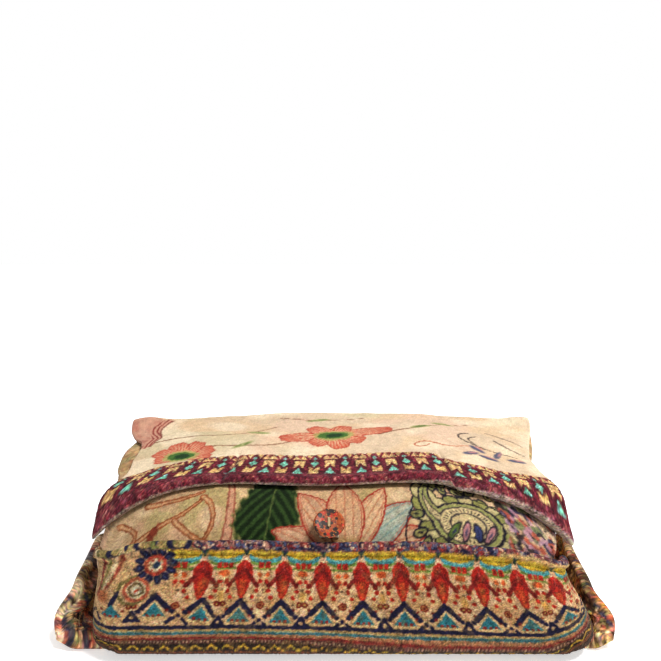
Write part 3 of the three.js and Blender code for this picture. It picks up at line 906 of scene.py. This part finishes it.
def print_chevrons(p, x, far, gap, y, shown, hidden):
    """Navy chevrons over teal triangles, with a small peak or a cross between them."""
    plain = np.where(x < -156, 50, 0)
    outline = wedge(far, y, 0, 31.6, 51, 11.6)
    p.lay(STRAW, outline + plain, 0.6, 0.8)
    p.lay(NAVY, bar(far, y, (0, 53.0), (9.2, 42.6), 4.5) + plain, 0.45)
    p.lay(NAVY, disc(far, y, 11.8, 39.8, 2.0) + plain, 0.45)
    p.lay(MAROON, both(disc(far, y, 8.6, 40.6, 1.4), hidden), 0.5, 0.8)
    p.lay(TEAL, wedge(far, y, 0, 35.0, 47.2, 8.6), 0.6)
    p.lay("#2F6470", wedge(far, y, 0, 39.5, 45.0, 2.4), 0.6, 0.7)
    for place in (4.4, 0, 4.4):
        p.lay("#8D2A22", disc(far, y, place, 36.0, 1.3), 0.45, 0.9)
    p.lay(STRAW, band(y, 32.6, 34.4), 0.6, 0.5)
    peak = both(wedge(gap, y, 0, 30, 42.5, 7.5), y - 38.6)
    hole = disc(gap, y, 0, 34.4, 1.6)
    for shape, where in (
        (both(peak, -hole), shown),
        (disc(gap, y, 0, 38.8, 2.2), shown),
        (disc(gap, y, 0, 36.4, 1.8), hidden),
        (bar(gap, y, (3.4, 34.2), (6.8, 30.0), 3.0), hidden),
    ):
        p.lay(NAVY, both(shape, where), 0.5)


def print_stripes(p, x, y):
    """Narrow stripes below the border, with a row of dots and a zigzag."""
    for code, low, high, edge, strength in (
        (NAVY, 28.6, 32.4, 0.5, 1),
        ("#B08A55", 27.0, 28.9, 0.4, 1),
        ("#9A9C6C", 26.4, 27.4, 0.5, 0.8),
        ("#3A666A", 23.9, 26.6, 0.5, 1),
        ("#A8714D", 21.6, 24.0, 0.5, 1),
        ("#7B2B26", 19.6, 21.7, 0.5, 1),
        ("#4A2A26", 16.9, 19.7, 0.5, 1),
    ):
        p.lay(code, band(y, low, high), edge, strength)
    dots = np.mod(x, 2.7) - 1.35
    p.lay("#B08A6A", disc(dots, y, 0, 18.2, 0.75), 0.35, 0.9)
    p.lay("#2C2019", band(y, 11.0, 17.0), 0.5)
    tooth = np.abs(np.mod(x, 12.0) - 6)
    zigzag = rim(y - (12.4 + 0.55 * tooth), 0.75)
    p.lay("#C69A33", both(zigzag, band(y, 11.4, 16.9)), 0.4, 0.95)
    p.lay("#6A3A22", band(y, 8.4, 11.2), 0.6)
    p.lay("#3B281C", y - 8.6, 0.6)
    p.mottles(("#8A6A3A", 4, 0.12, 31, 0.3))


def print_left_end(p, x, y, field):
    """Plain cloth with a rosette, a small pinwheel and a bar."""
    p.lay("#C99E6E", field, 1.2)
    p.lay("#D5AD7E", both(field, -lumps(x, y, 8, 61)), 0.5, 0.5)
    rose = (-143.5, 82.0)
    for at_x, at_y, turn in places_round(12, *rose, 11.4, 10.8, 8):
        p.lay(NAVY, oval(x, y, at_x, at_y, 3.9, 2.7, turn), 0.45)
        p.lay("#3C4C70", oval(x, y, at_x, at_y, 1.6, 0.6, turn), 0.4, 0.7)
    p.lay("#A8402F", rim(disc(x, y, *rose, 6.6), 1.3), 0.5)
    p.lay("#D9C29A", disc(x, y, *rose, 4.8), 0.5)
    p.lay("#2D3A4E", oval(x, y, rose[0] + 0.6, rose[1] + 0.4, 2.0, 3.0, -30), 0.5)
    for at_x, at_y, turn in places_round(6, *rose, 4.6, 4.4):
        p.lay("#B14436", disc(x, y, at_x, at_y, 0.9), 0.4)
    pin = (-156.0, 64.0)
    p.lay("#6E6236", rim(disc(x, y, pin[0] - 3, pin[1] - 1, 10.5), 1.5), 0.6, 0.9)
    p.lay("#A9553C", rim(disc(x, y, *pin, 8.4), 1.4), 0.5)
    p.lay("#D8C199", disc(x, y, *pin, 6.8), 0.5)
    p.lay("#5C4B2C", rim(disc(x, y, *pin, 5.0), 0.9), 0.5, 0.9)
    p.lay("#E2D2B0", disc(x, y, *pin, 3.4), 0.5)
    p.lay("#B1432E", oval(x, y, pin[0] + 0.4, pin[1] - 0.8, 2.3, 1.1, 40), 0.4)
    p.lay("#B85A32", oval(x, y, -184, 58, 7, 5.5, 30), 2.2, 0.75)
    for code, points, thick in (
        ("#8A3228", ((-166, 94), (-169, 82), (-180, 66)), 3.6),
        ("#E0C096", ((-171, 94), (-174, 82), (-184, 64)), 4.4),
        ("#7F7A42", ((-176, 94), (-178, 82), (-187, 62)), 3.4),
        (BRICK, ((-181, 94), (-183, 82), (-190, 56)), 3.2),
    ):
        p.lay(code, stroke(x, y, curve(points), thick), 0.8, 0.85)
    p.lay(NAVY, bar(x, y, (-176, 51), (-170, 63), 4.0), 0.5)
    p.lay("#C46A45", bar(x, y, (-150, 50), (-140, 59), 3.2), 0.8, 0.7)


def print_wing(p, left, right):
    """Dark mixed colours, as where many bands of the print run together in the fold."""
    p.mottles(
        ("#B8935F", 8, 0.44, 1, 0.9),
        ("#6B3B25", 4.5, 0.26, 2, 0.8),
        ("#D2B182", 4.5, 0.28, 3, 0.85),
        ("#2E1F1A", 4.0, 0.18, 4, 0.9),
        ("#9A3A2C", 3.8, 0.16, 5, 0.8),
        ("#5F6A3A", 4.2, 0.14, 6, 0.7),
        ("#24263C", 3.0, 0.12, 7, 0.85),
    )
    for code, cell, found, strength, seed in (
        ("#C98F7A", 5.0, 0.12, 0.7, 78),
        ("#DCC29A", 4.0, 0.20, 0.8, 79),
        ("#8A3A2C", 3.0, 0.44, 0.75, 80),
        ("#2A2A3A", 3.2, 0.50, 0.75, 81),
    ):
        streak = lumps(p.x, p.y * 0.28, cell, p.seed + seed)
        p.lay(code, both(found - streak, left), 0.15, strength)
        p.lay(code, both(found + 0.3 - streak, right), 0.15, strength * 0.7)
    p.mottles(("#C59A3F", 3.0, 0.16, 82, 0.8), ("#2C1D14", 2.6, 0.24, 83, 0.8), within=right, edge=0.2)


# The repeat along the flap's border, and a pair of diamonds' place in it
BAND_PITCH = 31.6
BAND_AT = 8.0
WINE = "#68222B"
FLAP_CREAM = "#DABF9F"

# Two flowers' petals, each by its turn in degrees, its length and its half width
MIDDLE_FLOWER = (
    (186, 62, 11),
    (226, 34, 11),
    (286, 36, 12),
    (334, 40, 11),
    (14, 70, 12),
    (66, 36, 11),
    (132, 38, 12),
)
LEFT_FLOWER = ((350, 34, 9), (24, 38, 11), (66, 38, 11), (108, 38, 11), (150, 36, 11), (190, 30, 9))


def band_width(x):
    """How far the flap's border reaches back from its hem."""
    at = (-222, -215, -180, -140, -106, 0, 100, 112, 124, 140, 180, 222)
    wide = (31, 32, 40, 50, 55, 56.5, 56, 51, 46, 46, 52, 58)
    return np.interp(x, at, wide)


def band_lower(x):
    """How far the border's print is drawn down towards the hem at the right."""
    return 6 * smooth(108, 120, x) + 15 * smooth(130, 190, x)


def print_flap_border(p, x, y):
    """Wine ground with notched blocks, diamonds and triangles, column by column."""
    lower = band_lower(x) * smooth(2, 15, y)
    t = (y + lower) * 56.5 / band_width(x)
    t = np.where(t < 15, y + lower, t)
    teeth = np.mod(x + 1.4 * np.sin(x / 9), 7.9)
    top = 55.6 + np.where(teeth < 3.6, 1.6, 0)
    p.lay(WINE, t - top, 0.5)
    p.mottles(
        ("#9C5A52", 2.2, 0.22, 11, 0.55),
        ("#B98272", 1.7, 0.12, 12, 0.55),
        ("#3D141D", 3.0, 0.3, 13, 0.55),
        within=t - 14.5,
        edge=0.22,
    )
    p.mottles(("#84404A", 4.0, 0.2, 19, 0.55), ("#431622", 6.0, 0.28, 20, 0.55), within=t - 56, edge=0.22)
    pair = np.mod(x - BAND_AT + BAND_PITCH / 2, BAND_PITCH) - BAND_PITCH / 2
    other = np.mod(x - BAND_AT, BAND_PITCH) - BAND_PITCH / 2
    cream = "#C9A06B"
    teal = "#6FAE98"
    for column in (pair, other):
        p.lay("#3E151B", block(column, t, 0, 30, 6.4, 15), 0.8, 0.55)
    low_block = both(block(pair, t, 0, 23.4, 5.0, 6.2), -wedge(pair, t, 0, 30, 24.5, 4.2))
    p.lay(cream, low_block, 0.5)
    p.lay("#A97C44", both(low_block, 20.5 - t), 0.8, 0.35)
    p.lay(teal, diamond(pair, t, 36.4, 4.4, 6.4, 4), 0.6)
    p.lay(teal, diamond(pair, t, 47.5, 2.4, 4.2, 2), 0.6, 0.8)
    p.lay(cream, wedge(np.abs(pair), t, 5.2, 57, 47, 3.4), 0.5, 0.95)
    high_block = both(block(other, t, 0, 36.2, 5.2, 7.2), -wedge(other, t, 0, 28.5, 36.0, 4.0))
    p.lay(cream, high_block, 0.5)
    p.lay("#8A5A3C", both(high_block, disc(other, t, 0, 38.5, 1.2)), 0.6, 0.5)
    p.lay(teal, wedge(other, t, 0, 17.0, 28.6, 5.0), 0.6)
    p.lay(cream, wedge(np.abs(other), t, 3.6, 46.2, 56.5, 4.6), 0.5, 0.95)
    p.lay("#8F4C3C", wedge(other, t, 0, 57.5, 50, 3.0), 0.5, 0.8)


def print_flower(p, x, y, at_x, at_y, petals, heart):
    """An open flower: feathered petals, each given by its turn, length and half width, and a heart."""
    for turn, length, wide in petals:
        along, aside = turned(x, y, at_x, at_y, turn)
        share = np.clip(along / length, 0, 1)
        taper = wide * np.sqrt(share * (1.06 - share)) * 2
        fringe = 2.4 * np.abs(np.sin(aside * 1.5 + 2 * lumps(along, aside, 8, 71))) * share
        inside = both(rim(aside, taper), both(-along, along - length + fringe))
        p.lay("#DDA27E", inside, 0.6, 0.9)
        lines = np.sin(aside * 1.7 / (0.35 + share) + 0.8 * lumps(along, aside, 9, 72))
        p.lay("#BF4630", both(inside + 0.5, 0.2 - lines), 0.35, 0.85)
        p.lay("#B23A28", both(inside, 0.86 - share + 0.12 * lines), 0.2, 0.6)
        p.lay("#DDB273", both(inside + 1, along - 0.34 * length), 2.5, 0.65)
        p.lay("#A8382A", rim(inside, 0.6) + np.where(share < 0.3, 10, 0), 0.45, 0.85)
    ring = oval(x, y, at_x, at_y, heart * 1.5, heart) + 1.8 * lumps(x, y, 2.4, 73)
    p.lay("#A9A25E", ring, 0.9, 0.9)
    p.lay("#466B2C", oval(x, y, at_x, at_y, heart * 1.15, heart * 0.7) + 1.2 * lumps(x, y, 2, 76), 0.7)
    p.lay("#1C3A1B", oval(x, y, at_x + 1, at_y - 1, heart * 0.7, heart * 0.4) + lumps(x, y, 2, 74), 0.7, 0.95)


def print_flap_field(p, x, y):
    """Cream cloth, darkened towards the left by painted shade, with soft stains of colour, open flowers,
    stems and curls.
    """
    # Painted shade: a darker tan laid softly over the flap's left part, deepening towards the left end.
    p.lay("#D3AE84", x + 110, 70, 0.5)
    p.mottles(
        ("#E2BE93", 30, 0.4, 1, 0.5),
        ("#E5BFA4", 38, 0.35, 2, 0.5),
        ("#CFC79E", 34, 0.22, 3, 0.45),
        ("#F5E0C0", 26, 0.35, 4, 0.6),
    )
    stem = "#7A4D34"
    for points in (
        ((-150, 78), (-112, 92), (-84, 62), (-40, 96)),
        ((-206, 104), (-150, 128), (-118, 96), (-66, 138)),
        ((48, 104), (92, 120), (104, 146), (150, 158)),
        ((-60, 170), (-20, 152), (30, 168)),
    ):
        p.lay(stem, stroke(x, y, curve(points), 2.6), 0.6, 0.9)
    for at_x, at_y, turn in (
        (-104, 82, 40),
        (-88, 118, -20),
        (96, 132, 30),
        (120, 150, -10),
        (-20, 160, 20),
    ):
        leaf = oval(x, y, at_x, at_y, 13, 4.2, turn)
        p.lay("#A3A468", leaf, 0.9, 0.9)
        p.lay("#5F7038", both(leaf + 1.2, lumps(x, y, 4, 75)), 0.6, 0.8)
    print_flower(p, x, y, -4, 104, MIDDLE_FLOWER, 15)
    print_flower(p, x, y, -168, 60, LEFT_FLOWER, 13)
    for points, code, thick in (
        (((116, 84), (84, 96), (78, 66), (100, 70), (106, 80)), "#B25A3E", 2.6),
        (((116, 84), (134, 72), (150, 92), (168, 82)), "#BF6A4C", 2.4),
        (((150, 122), (122, 112), (150, 84), (204, 72)), "#3F3330", 2.6),
        (((158, 112), (142, 104), (160, 90)), "#4B3C38", 2.4),
        (((180, 108), (196, 90), (216, 80)), "#4B3C38", 2.4),
        (((170, 130), (200, 118), (214, 104)), "#5F4C44", 2.2),
    ):
        p.lay(code, stroke(x, y, curve(points), thick), 0.45, 0.9)
    for turn, at_x, at_y in ((20, 150, 68), (-25, 168, 62), (55, 182, 72), (0, 200, 64), (-40, 160, 80)):
        p.lay("#3F4460", oval(x, y, at_x, at_y, 10, 3.4, turn), 0.8, 0.85)
        p.lay("#C98A86", oval(x, y, at_x + 3, at_y + 2, 6, 1.6, turn), 0.8, 0.8)


def print_tuck(p, x, y):
    """The gathered corner at the left of the rear fold, in pinks and deep red."""
    edge = -184 - 0.36 * (168 - y) + 1.6 * np.sin(y / 9)
    past = x - edge
    above = 60 * (smooth(96, 88, y) + smooth(180, 215, y))
    p.lay("#C9937A", past + 8 + above, 2.5, 0.9)
    p.lay("#B06A58", both(past + 12, 0.15 - lumps(x, y * 0.6, 7, 91)) + above, 0.6, 0.7)
    twist = rim(past + 5, 5.5) + above
    p.lay("#C4806A", twist, 0.8)
    strands = np.sin(past * 1.35 + 0.16 * y + 1.3 * lumps(x, y, 10, 92))
    p.lay("#7F2E27", both(twist, 0.35 - strands), 0.35, 0.85)
    p.lay("#CF9E82", both(twist, 0.55 + strands), 0.35, 0.8)
    p.lay("#6B2A22", rim(past - 0.8, 0.9) + above, 0.6, 0.75)


def print_front(p, x, y):
    """The blanket's face between hem and mouth: leaf, petals and a boteh in a free arrangement."""
    p.mottles(
        ("#C79D70", 20, 0.4, 1, 0.5),
        ("#E4C49A", 15, 0.4, 2, 0.6),
        ("#A99A5C", 22, 0.22, 3, 0.5),
        ("#D9A080", 18, 0.2, 4, 0.5),
    )
    for points in (
        ((-172, 44), (-150, 60), (-128, 52), (-112, 74)),
        ((-134, 56), (-120, 40), (-104, 36)),
        ((-160, 80), (-138, 70), (-112, 80)),
        ((-112, 74), (-100, 66), (-100, 48), (-108, 40)),
        ((-184, 70), (-168, 64), (-160, 52), (-172, 46)),
    ):
        line = stroke(x, y, curve(points), 5.4)
        p.lay("#C98A5C", line, 0.5, 0.9)
        p.lay("#8C4426", rim(line + 0.5, 0.6), 0.35, 0.9)
        p.lay("#DDB07E", line + 2.0, 0.4, 0.8)
    stem = stroke(x, y, curve(((-92, 30), (-86, 60), (-90, 90))), 9.0)
    p.lay("#CF9474", stem, 0.6, 0.9)
    p.lay("#8E4030", rim(stem + 0.6, 0.6), 0.5, 0.9)
    print_leaf(p, x, y)
    print_petals(p, x, y)
    print_boteh(p, x, y)
    print_far_right(p, x, y)
    red = np.minimum(oval(x, y, -170, 43, 10, 4, 10), oval(x, y, -152, 50, 8, 3.5, 55))
    p.lay("#7E2F20", red + 1.2 * lumps(x, y, 3, 93), 0.8, 0.9)


def print_leaf(p, x, y):
    """A feathery leaf leaning over the mouth."""
    centre = -62 + 0.16 * (y - 34)
    side = x - centre
    fringe = 2.6 * lumps(x * 1.4, y * 0.7 + x * 0.9, 3.2, 95)
    wide = 25 * np.sqrt(np.clip((y - 26) / 22, 0, 1)) * np.clip((98 - y) / 44, 0, 1) ** 0.35
    inside = rim(side, wide) + fringe
    p.lay("#5C6030", inside - 1.8, 1.2, 0.9)
    p.lay("#26381A", inside, 0.8)
    veins = np.sin((y * 0.9 + np.abs(side) * 1.2) / 1.6)
    p.lay("#101C0C", both(inside + 1, 0.1 - veins), 0.5, 0.7)
    p.lay("#405A28", both(inside + 2, 0.7 + veins), 0.5, 0.6)
    p.lay("#6F7A3E", rim(side - 1.5, 0.6) + np.where(inside > 0, 20, 0), 0.6, 0.7)


def print_petals(p, x, y):
    """Salmon petals that fan out of the mouth behind the button, one of them teal."""
    for turn, length, wide, code, line in (
        (163, 66, 13, "#CF9A74", "#B8694C"),
        (16, 74, 12, "#D2A27A", "#B8694C"),
        (36, 72, 15, "#93A899", "#6F8C86"),
        (128, 68, 16, "#CC9670", "#B0603F"),
        (60, 66, 13, "#D4A87C", "#B97350"),
        (94, 66, 17, "#CF9C72", "#B4694A"),
    ):
        along, aside = turned(x, y, 8, 26, turn)
        share = np.clip(along / length, 0, 1)
        petal = rim(aside, wide * np.sin(math.pi * share**0.9) ** 0.8)
        petal = np.where((along < 0) | (along > length), 20, petal)
        p.lay(code, petal, 0.5)
        p.lay("#E8C49C", both(petal + 3, lumps(x, y, 9, 96) + 0.1), 1.0, 0.5)
        veins = np.abs(np.mod(aside / wide + 0.25 * share + 0.5, 0.42) - 0.21) * wide
        p.lay(line, both(petal + 2, veins - 0.55), 0.45, 0.75)
        p.lay("#9E2F25", rim(petal + 0.6, 0.75), 0.4)
        p.lay("#C0604A", rim(petal + 3.0, 0.4), 0.4, 0.7)
    p.lay("#A88A4C", oval(x, y, 8, 34, 16, 7, 0), 2.6, 0.6)


def print_boteh(p, x, y):
    """A boteh with a dotted rim, scalloped outside, four leaves in it and curls round it."""
    bend_x = 108 + 0.012 * (y - 44) ** 2
    shape = oval(x - bend_x + 108, y, 108, 52, 32, 17, -14)
    tail = stroke(x, y, curve(((84, 56), (66, 70), (78, 88))), 15)
    shape = np.minimum(shape, tail + 1.5)
    angle = np.arctan2(y - 52, (x - 108) * 0.6)
    wave = np.sin(angle * 9)
    outer = shape - 4.5 - 2.6 * np.abs(wave)
    dotted = np.abs(np.mod(angle * 6.2, 1) - 0.5)
    for code, inside, edge, strength in (
        ("#8C8A4A", outer, 0.5, 0.95),
        ("#CDB884", both(outer + 1.2, 0.2 - wave), 0.5, 0.9),
        (INK, rim(outer, 0.75), 0.4, 1),
        (INK, both(np.abs(wave) * 6 - 1.2, rim(shape - 2.4, 2)), 0.6, 0.7),
        ("#D3BA86", shape, 0.5, 1),
        (INK, rim(shape, 0.8), 0.4, 1),
        ("#8E9050", rim(shape + 2.0, 1.0), 0.5, 0.9),
        (INK, rim(shape + 3.4, 0.5), 0.4, 0.9),
        (INK, both((dotted - 0.16) * 6, rim(shape + 6.2, 0.8)), 0.5, 1),
        (INK, rim(shape + 8.6, 0.5), 0.4, 0.9),
    ):
        p.lay(code, inside, edge, strength)
    for at_x, turn, code in ((98, 60, "#5A6B33"), (108, 90, LILAC), (118, 120, "#39406A"), (128, 70, LILAC)):
        leaf = oval(x, y, at_x, 47, 7.5, 3.2, turn)
        p.lay(code, leaf, 0.5)
        p.lay(INK, rim(leaf, 0.5), 0.35, 0.9)
        p.lay("#2B2F4C", oval(x, y, at_x, 46, 3, 1, turn), 0.5, 0.8)
    for at_x, at_y, turn in (
        (70, 44, 20),
        (76, 36, 60),
        (66, 58, 0),
        (90, 82, 100),
        (102, 80, 140),
        (114, 82, 30),
    ):
        curl = oval(x, y, at_x, at_y, 6, 3.4, turn)
        p.lay("#7F8146", curl, 0.5, 0.8)
        p.lay(INK, rim(curl, 0.6), 0.35)
        p.lay(INK, oval(x, y, at_x, at_y, 2.4, 0.9, turn), 0.35)
    for n in range(11):
        at_x = 92 + 7.5 * n
        at_y = 88 - 0.14 * (at_x - 92) + 3 * math.sin(2.1 * n)
        bead = disc(x, y, at_x, at_y, 3.2)
        p.lay("#B9A868", bead, 0.5, 0.9)
        p.lay(INK, rim(bead, 0.6), 0.35)
        p.lay(INK, disc(x, y, at_x, at_y, 0.9), 0.35)
    for points in (
        ((70, 90), (92, 74), (124, 78), (150, 62)),
        ((120, 88), (140, 80), (150, 66), (168, 60)),
        ((60, 34), (54, 50), (64, 66)),
    ):
        p.lay(INK, stroke(x, y, curve(points), 1.5), 0.35)


def print_far_right(p, x, y):
    """Flecked red, navy and lilac at the right end."""
    zone = 142 - x - 0.35 * (y - 50)
    for code, cell, share, seed, strength in (
        ("#E2C29C", 9, 0.5, 61, 0.9),
        ("#35304A", 4.2, 0.24, 62, 0.9),
        ("#B4523F", 4.0, 0.28, 63, 0.9),
        ("#B58A9A", 4.0, 0.12, 64, 0.8),
        ("#6E7A4A", 5, 0.14, 65, 0.8),
        ("#221C22", 3, 0.14, 66, 0.8),
    ):
        slanted = lumps(p.x * 0.8 + p.y * 0.9, (p.y - p.x) * 0.45, cell, p.seed + seed)
        p.lay(code, both((1 - 2 * share) * 0.55 - slanted, zone * 0.2), 0.2, strength)
    p.lay("#E0C79E", 186 - x, 1.5, 0.7)


# Pieces

def finish_cloth(cloth, material, node):
    cloth.data.materials.append(material)
    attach(cloth, "root")
    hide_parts(node)


def swell(a, b, seed):
    """Soft unevenness of the cloth's face."""
    return 0.9 * lumps(a, b, 42, seed) + 0.45 * lumps(a, b, 17, seed + 9)


def make_pocket():
    left = -(POCKET_LEFT - POCKET_CORNER) - POCKET_CORNER * math.pi / 2
    right = POCKET_RIGHT - POCKET_CORNER + POCKET_CORNER * math.pi / 2
    across = spaced((left + 2, right - 2, 0.85))
    along = spaced((2, 14, 2.0), (14, 97, 0.75))

    def reach(a, b):
        roll = smooth(89, 93.5, b) * (1 - 0.4 * smooth(96, 100, b))
        return CLOTH / 2 + (HEM - CLOTH) * roll, np.full(len(a), CLOTH / 2)

    def relief(a, b):
        groove = -1.2 * np.exp(-(((b - 90.5) / 1.6) ** 2))
        return swell(a, b, 11) * smooth(0, 30, b) + groove

    cloth, a, b, side = bend_cloth(
        "pocket", across, along, (110, 24), pocket_surface, reach, relief, steps=FINE_EDGE, nap=0.15
    )
    border = Print(cloth, a, b + 5 * (1 - side) * (b > 90), TAN, 100)
    print_pocket(border)
    border.grain(0.26)
    border.keep(cloth, 0.66)
    plush = plush_material("border plush", 0.5, 0.9, 0.0009)
    finish_cloth(cloth, plush, "pouch_pocket")


def flap_reach(a, along):
    y, z = BACK.at(along)
    hem = smooth(ROUND_Y + 4, ROUND_Y - 10, y) * (z > ROUND_Z)
    for pleat in PLEATS:
        hem = hem * (1 - 0.8 * np.exp(-(((a - pleat) / 4) ** 2)))
    return CLOTH / 2 + (HEM - CLOTH) * hem, np.full(len(a), CLOTH / 2)


def make_flap(plush):
    across = spaced((ACROSS - 2, 2 - ACROSS, 1.05))
    hem = BACK.length
    start = REAR_TURN + 0.2
    along = spaced((start, hem - 150, 3.5), (hem - 150, hem - 75, 1.8), (hem - 75, hem - 4, 0.85))

    def nap(a, b):
        return np.where(hem - b < band_width(a) - band_lower(a), 0.22, 0.03)

    def relief(a, b):
        back = hem - b
        gully = sum(np.exp(-(((a - pleat) / 2.4) ** 2)) for pleat in PLEATS)
        return swell(a, b, 21) - 2.2 * gully * smooth(70, 50, back)

    cloth, a, b, side = bend_cloth(
        "flap", across, along, (90, 60), back_surface, flap_reach, relief, steps=FINE_EDGE, nap=nap
    )
    cover = Print(cloth, a, hem - b + 11 * (side - 1) * (b > hem - 90), FLAP_CREAM, 200)
    x = cover.x
    y = cover.y
    print_flap_field(cover, x, y)
    print_tuck(cover, x, y)
    print_flap_border(cover, x, y)
    # Painted shade: a dark line down each pleat's crease, through the border.
    for pleat in PLEATS:
        cover.lay("#3A1822", both(rim(x - pleat, 0.9), y - band_width(x)), 0.8, 0.7)
    pile_from = np.interp(a, (-200, -110, 60, 112, 170), (-2.0, -8.0, -9.0, -2.0, 1.0))
    pile = cover.y - pile_from + 1.6 * cover.mottle(3.0, 0.5, 205)
    cover.lay("#8C5F5E", pile - 2.4, 1.2, 0.7)
    cover.lay("#B09A8B", pile, 1.2)
    cover.lay("#8A7468", both(pile + 1, cover.mottle(2.0, 0.3, 206)), 0.3, 0.8)
    cover.grain(np.where(cover.y < band_width(cover.x) - band_lower(cover.x), 0.36, 0.05))
    cover.keep(cloth, 0.8)
    finish_cloth(cloth, plush, "pouch_back_and_flap")


def make_floor_panel(plush):
    across = spaced((3 - ACROSS, -180, 1.1), (-180, 180, 12), (180, ACROSS - 3, 1.1))
    along = spaced((2, 140, 1.1), (140, REAR_TURN - 0.2, 3))

    def reach(a, b):
        y = b + BACK_FRONT
        alongside = smooth(BACK_FRONT - 6, -80, y) * smooth(60, 0, y)
        wing = smooth(204, 212, np.abs(a)) * alongside
        inner = np.where(a < 0, smooth(173, 187, -a), smooth(195, 206, a))
        plump = blend(7.5, 10.5, a < 0) * inner * smooth(222, 210, np.abs(a)) * smooth(20, -20, y)
        return CLOTH / 2 + (WING - CLOTH) * wing + plump, np.full(len(a), CLOTH / 2)

    def relief(a, b):
        return swell(a, b, 31) * smooth(200, 212, np.abs(a))

    cloth, a, b, _ = bend_cloth(
        "floor_panel", across, along, (60, 70), back_surface, reach, relief, nap=0.2
    )
    mixed = Print(cloth, a, b, "#9A6C48", 300)
    print_wing(mixed, a, -a)
    mixed.grain(0.34)
    mixed.keep(cloth, np.where(a < 0, 1.15, 0.95)[:, None])
    finish_cloth(cloth, plush, "pouch_back_and_flap")


def layer_reach(a, b):
    return np.full(len(a), LAYER / 2), np.full(len(a), LAYER / 2)


def make_blanket_front(plush):
    across = spaced((-106.4, -97.4, 0.9), (-97.4, 97.4, 0.5))
    along = spaced(
        (ROUND_START - 10, ROUND_START + 30, 3),
        (ROUND_START + 30, ROUND_START + 92, 0.9),
        (ROUND_START + 92, ROUND_END + 50, 4),
    )

    def relief(a, b):
        return 0.7 * swell(a * 1.9, b, 41)

    back = (90, 30)
    cloth, a, b, _ = bend_cloth("blanket_front", across, along, back, blanket_surface, layer_reach, relief)
    face = Print(cloth, a * ACROSS_MM, b - ROUND_START, "#D6B284", 400)
    print_front(face, face.x, face.y)
    face.grain(0.12)
    face.keep(cloth, 0.64)
    finish_cloth(cloth, plush, "folded_blanket")


def make_blanket_layers(plush):
    across = spaced((-97.4, -84, 0.9), (-84, 84, 6), (84, 97.4, 0.9))
    for name, start, end in (
        ("blanket_layers", ROUND_END + 50.4, BLANKET.length),
        ("blanket_base", 0, ROUND_START - 10.4),
    ):
        along = spaced((start, end, 4.0))
        back = (40, max(2, len(along) // 2))
        cloth, a, b, _ = bend_cloth(name, across, along, back, blanket_surface, layer_reach)
        folded = Print(cloth, a * ACROSS_MM, b, "#BC9A6C", 500)
        folded.mottles(
            ("#CDAA7C", 14, 0.4, 1, 0.7),
            ("#A07C4E", 9, 0.3, 2, 0.6),
            ("#C08A6C", 10, 0.2, 3, 0.6),
            ("#7F7F52", 8, 0.14, 4, 0.5),
            ("#8A4334", 4, 0.08, 5, 0.6),
        )
        folded.grain(0.15)
        folded.keep(cloth, 0.8)
        finish_cloth(cloth, plush, "folded_blanket")


# The room

def add_camera():
    lens = bpy.data.cameras.new("camera")
    lens.sensor_width = SENSOR
    lens.lens = SENSOR * FOCAL_PIXELS / PHOTO_PIXELS
    camera = bpy.data.objects.new("camera", lens)
    camera.location = CAMERA_PLACE
    camera.rotation_euler = (math.radians(90 - CAMERA_DOWN), 0, 0)
    bpy.context.scene.collection.objects.link(camera)
    bpy.context.scene.camera = camera


def add_light(name, place, size, power):
    lamp = bpy.data.lights.new(name, "AREA")
    lamp.shape = "DISK"
    lamp.size = size
    lamp.energy = power
    light = bpy.data.objects.new(name, lamp)
    light.location = place
    toward = Vector(AIM) - light.location
    light.rotation_euler = toward.to_track_quat("-Z", "Y").to_euler()
    bpy.context.scene.collection.objects.link(light)


def add_floor():
    bm = bmesh.new()
    bmesh.ops.create_grid(bm, x_segments=1, y_segments=1, size=1.7)
    mesh = bpy.data.meshes.new("floor")
    bm.to_mesh(mesh)
    bm.free()
    floor = bpy.data.objects.new("floor", mesh)
    material, tree, shader = add_material("pale floor", 0.7)
    shader.inputs["Base Color"].default_value = (0.88, 0.88, 0.88, 1)
    shader.inputs["Emission Color"].default_value = (1, 1, 1, 1)
    shader.inputs["Emission Strength"].default_value = FLOOR_GLOW
    mesh.materials.append(material)
    bpy.context.scene.collection.objects.link(floor)


def set_up_studio():
    """Soft light from all round, a key light from above on the right, and a white background."""
    scene = bpy.context.scene
    scene.view_settings.view_transform = "Standard"
    world = bpy.data.worlds.new("studio")
    world.use_nodes = True
    tree = world.node_tree
    link = tree.links.new
    around = tree.nodes["Background"]
    around.inputs["Strength"].default_value = AROUND
    around.inputs["Color"].default_value = (1, 1, 1, 1)
    behind = add_node(tree, "Background", Strength=1.0, Color=(1, 1, 1, 1))
    seen = add_node(tree, "LightPath")
    mixed = add_node(tree, "MixShader")
    link(seen.outputs["Is Camera Ray"], mixed.inputs[0])
    link(around.outputs[0], mixed.inputs[1])
    link(behind.outputs[0], mixed.inputs[2])
    link(mixed.outputs[0], tree.nodes["World Output"].inputs["Surface"])
    scene.world = world
    add_light("key", *KEY)
    add_light("fill", *FILL)


add_camera()
set_up_studio()
add_floor()
finish_small_parts()
make_pocket()
pouch_plush = plush_material("pouch plush")
make_flap(pouch_plush)
make_floor_panel(pouch_plush)
blanket_plush = plush_material("blanket plush")
make_blanket_front(blanket_plush)
make_blanket_layers(blanket_plush)
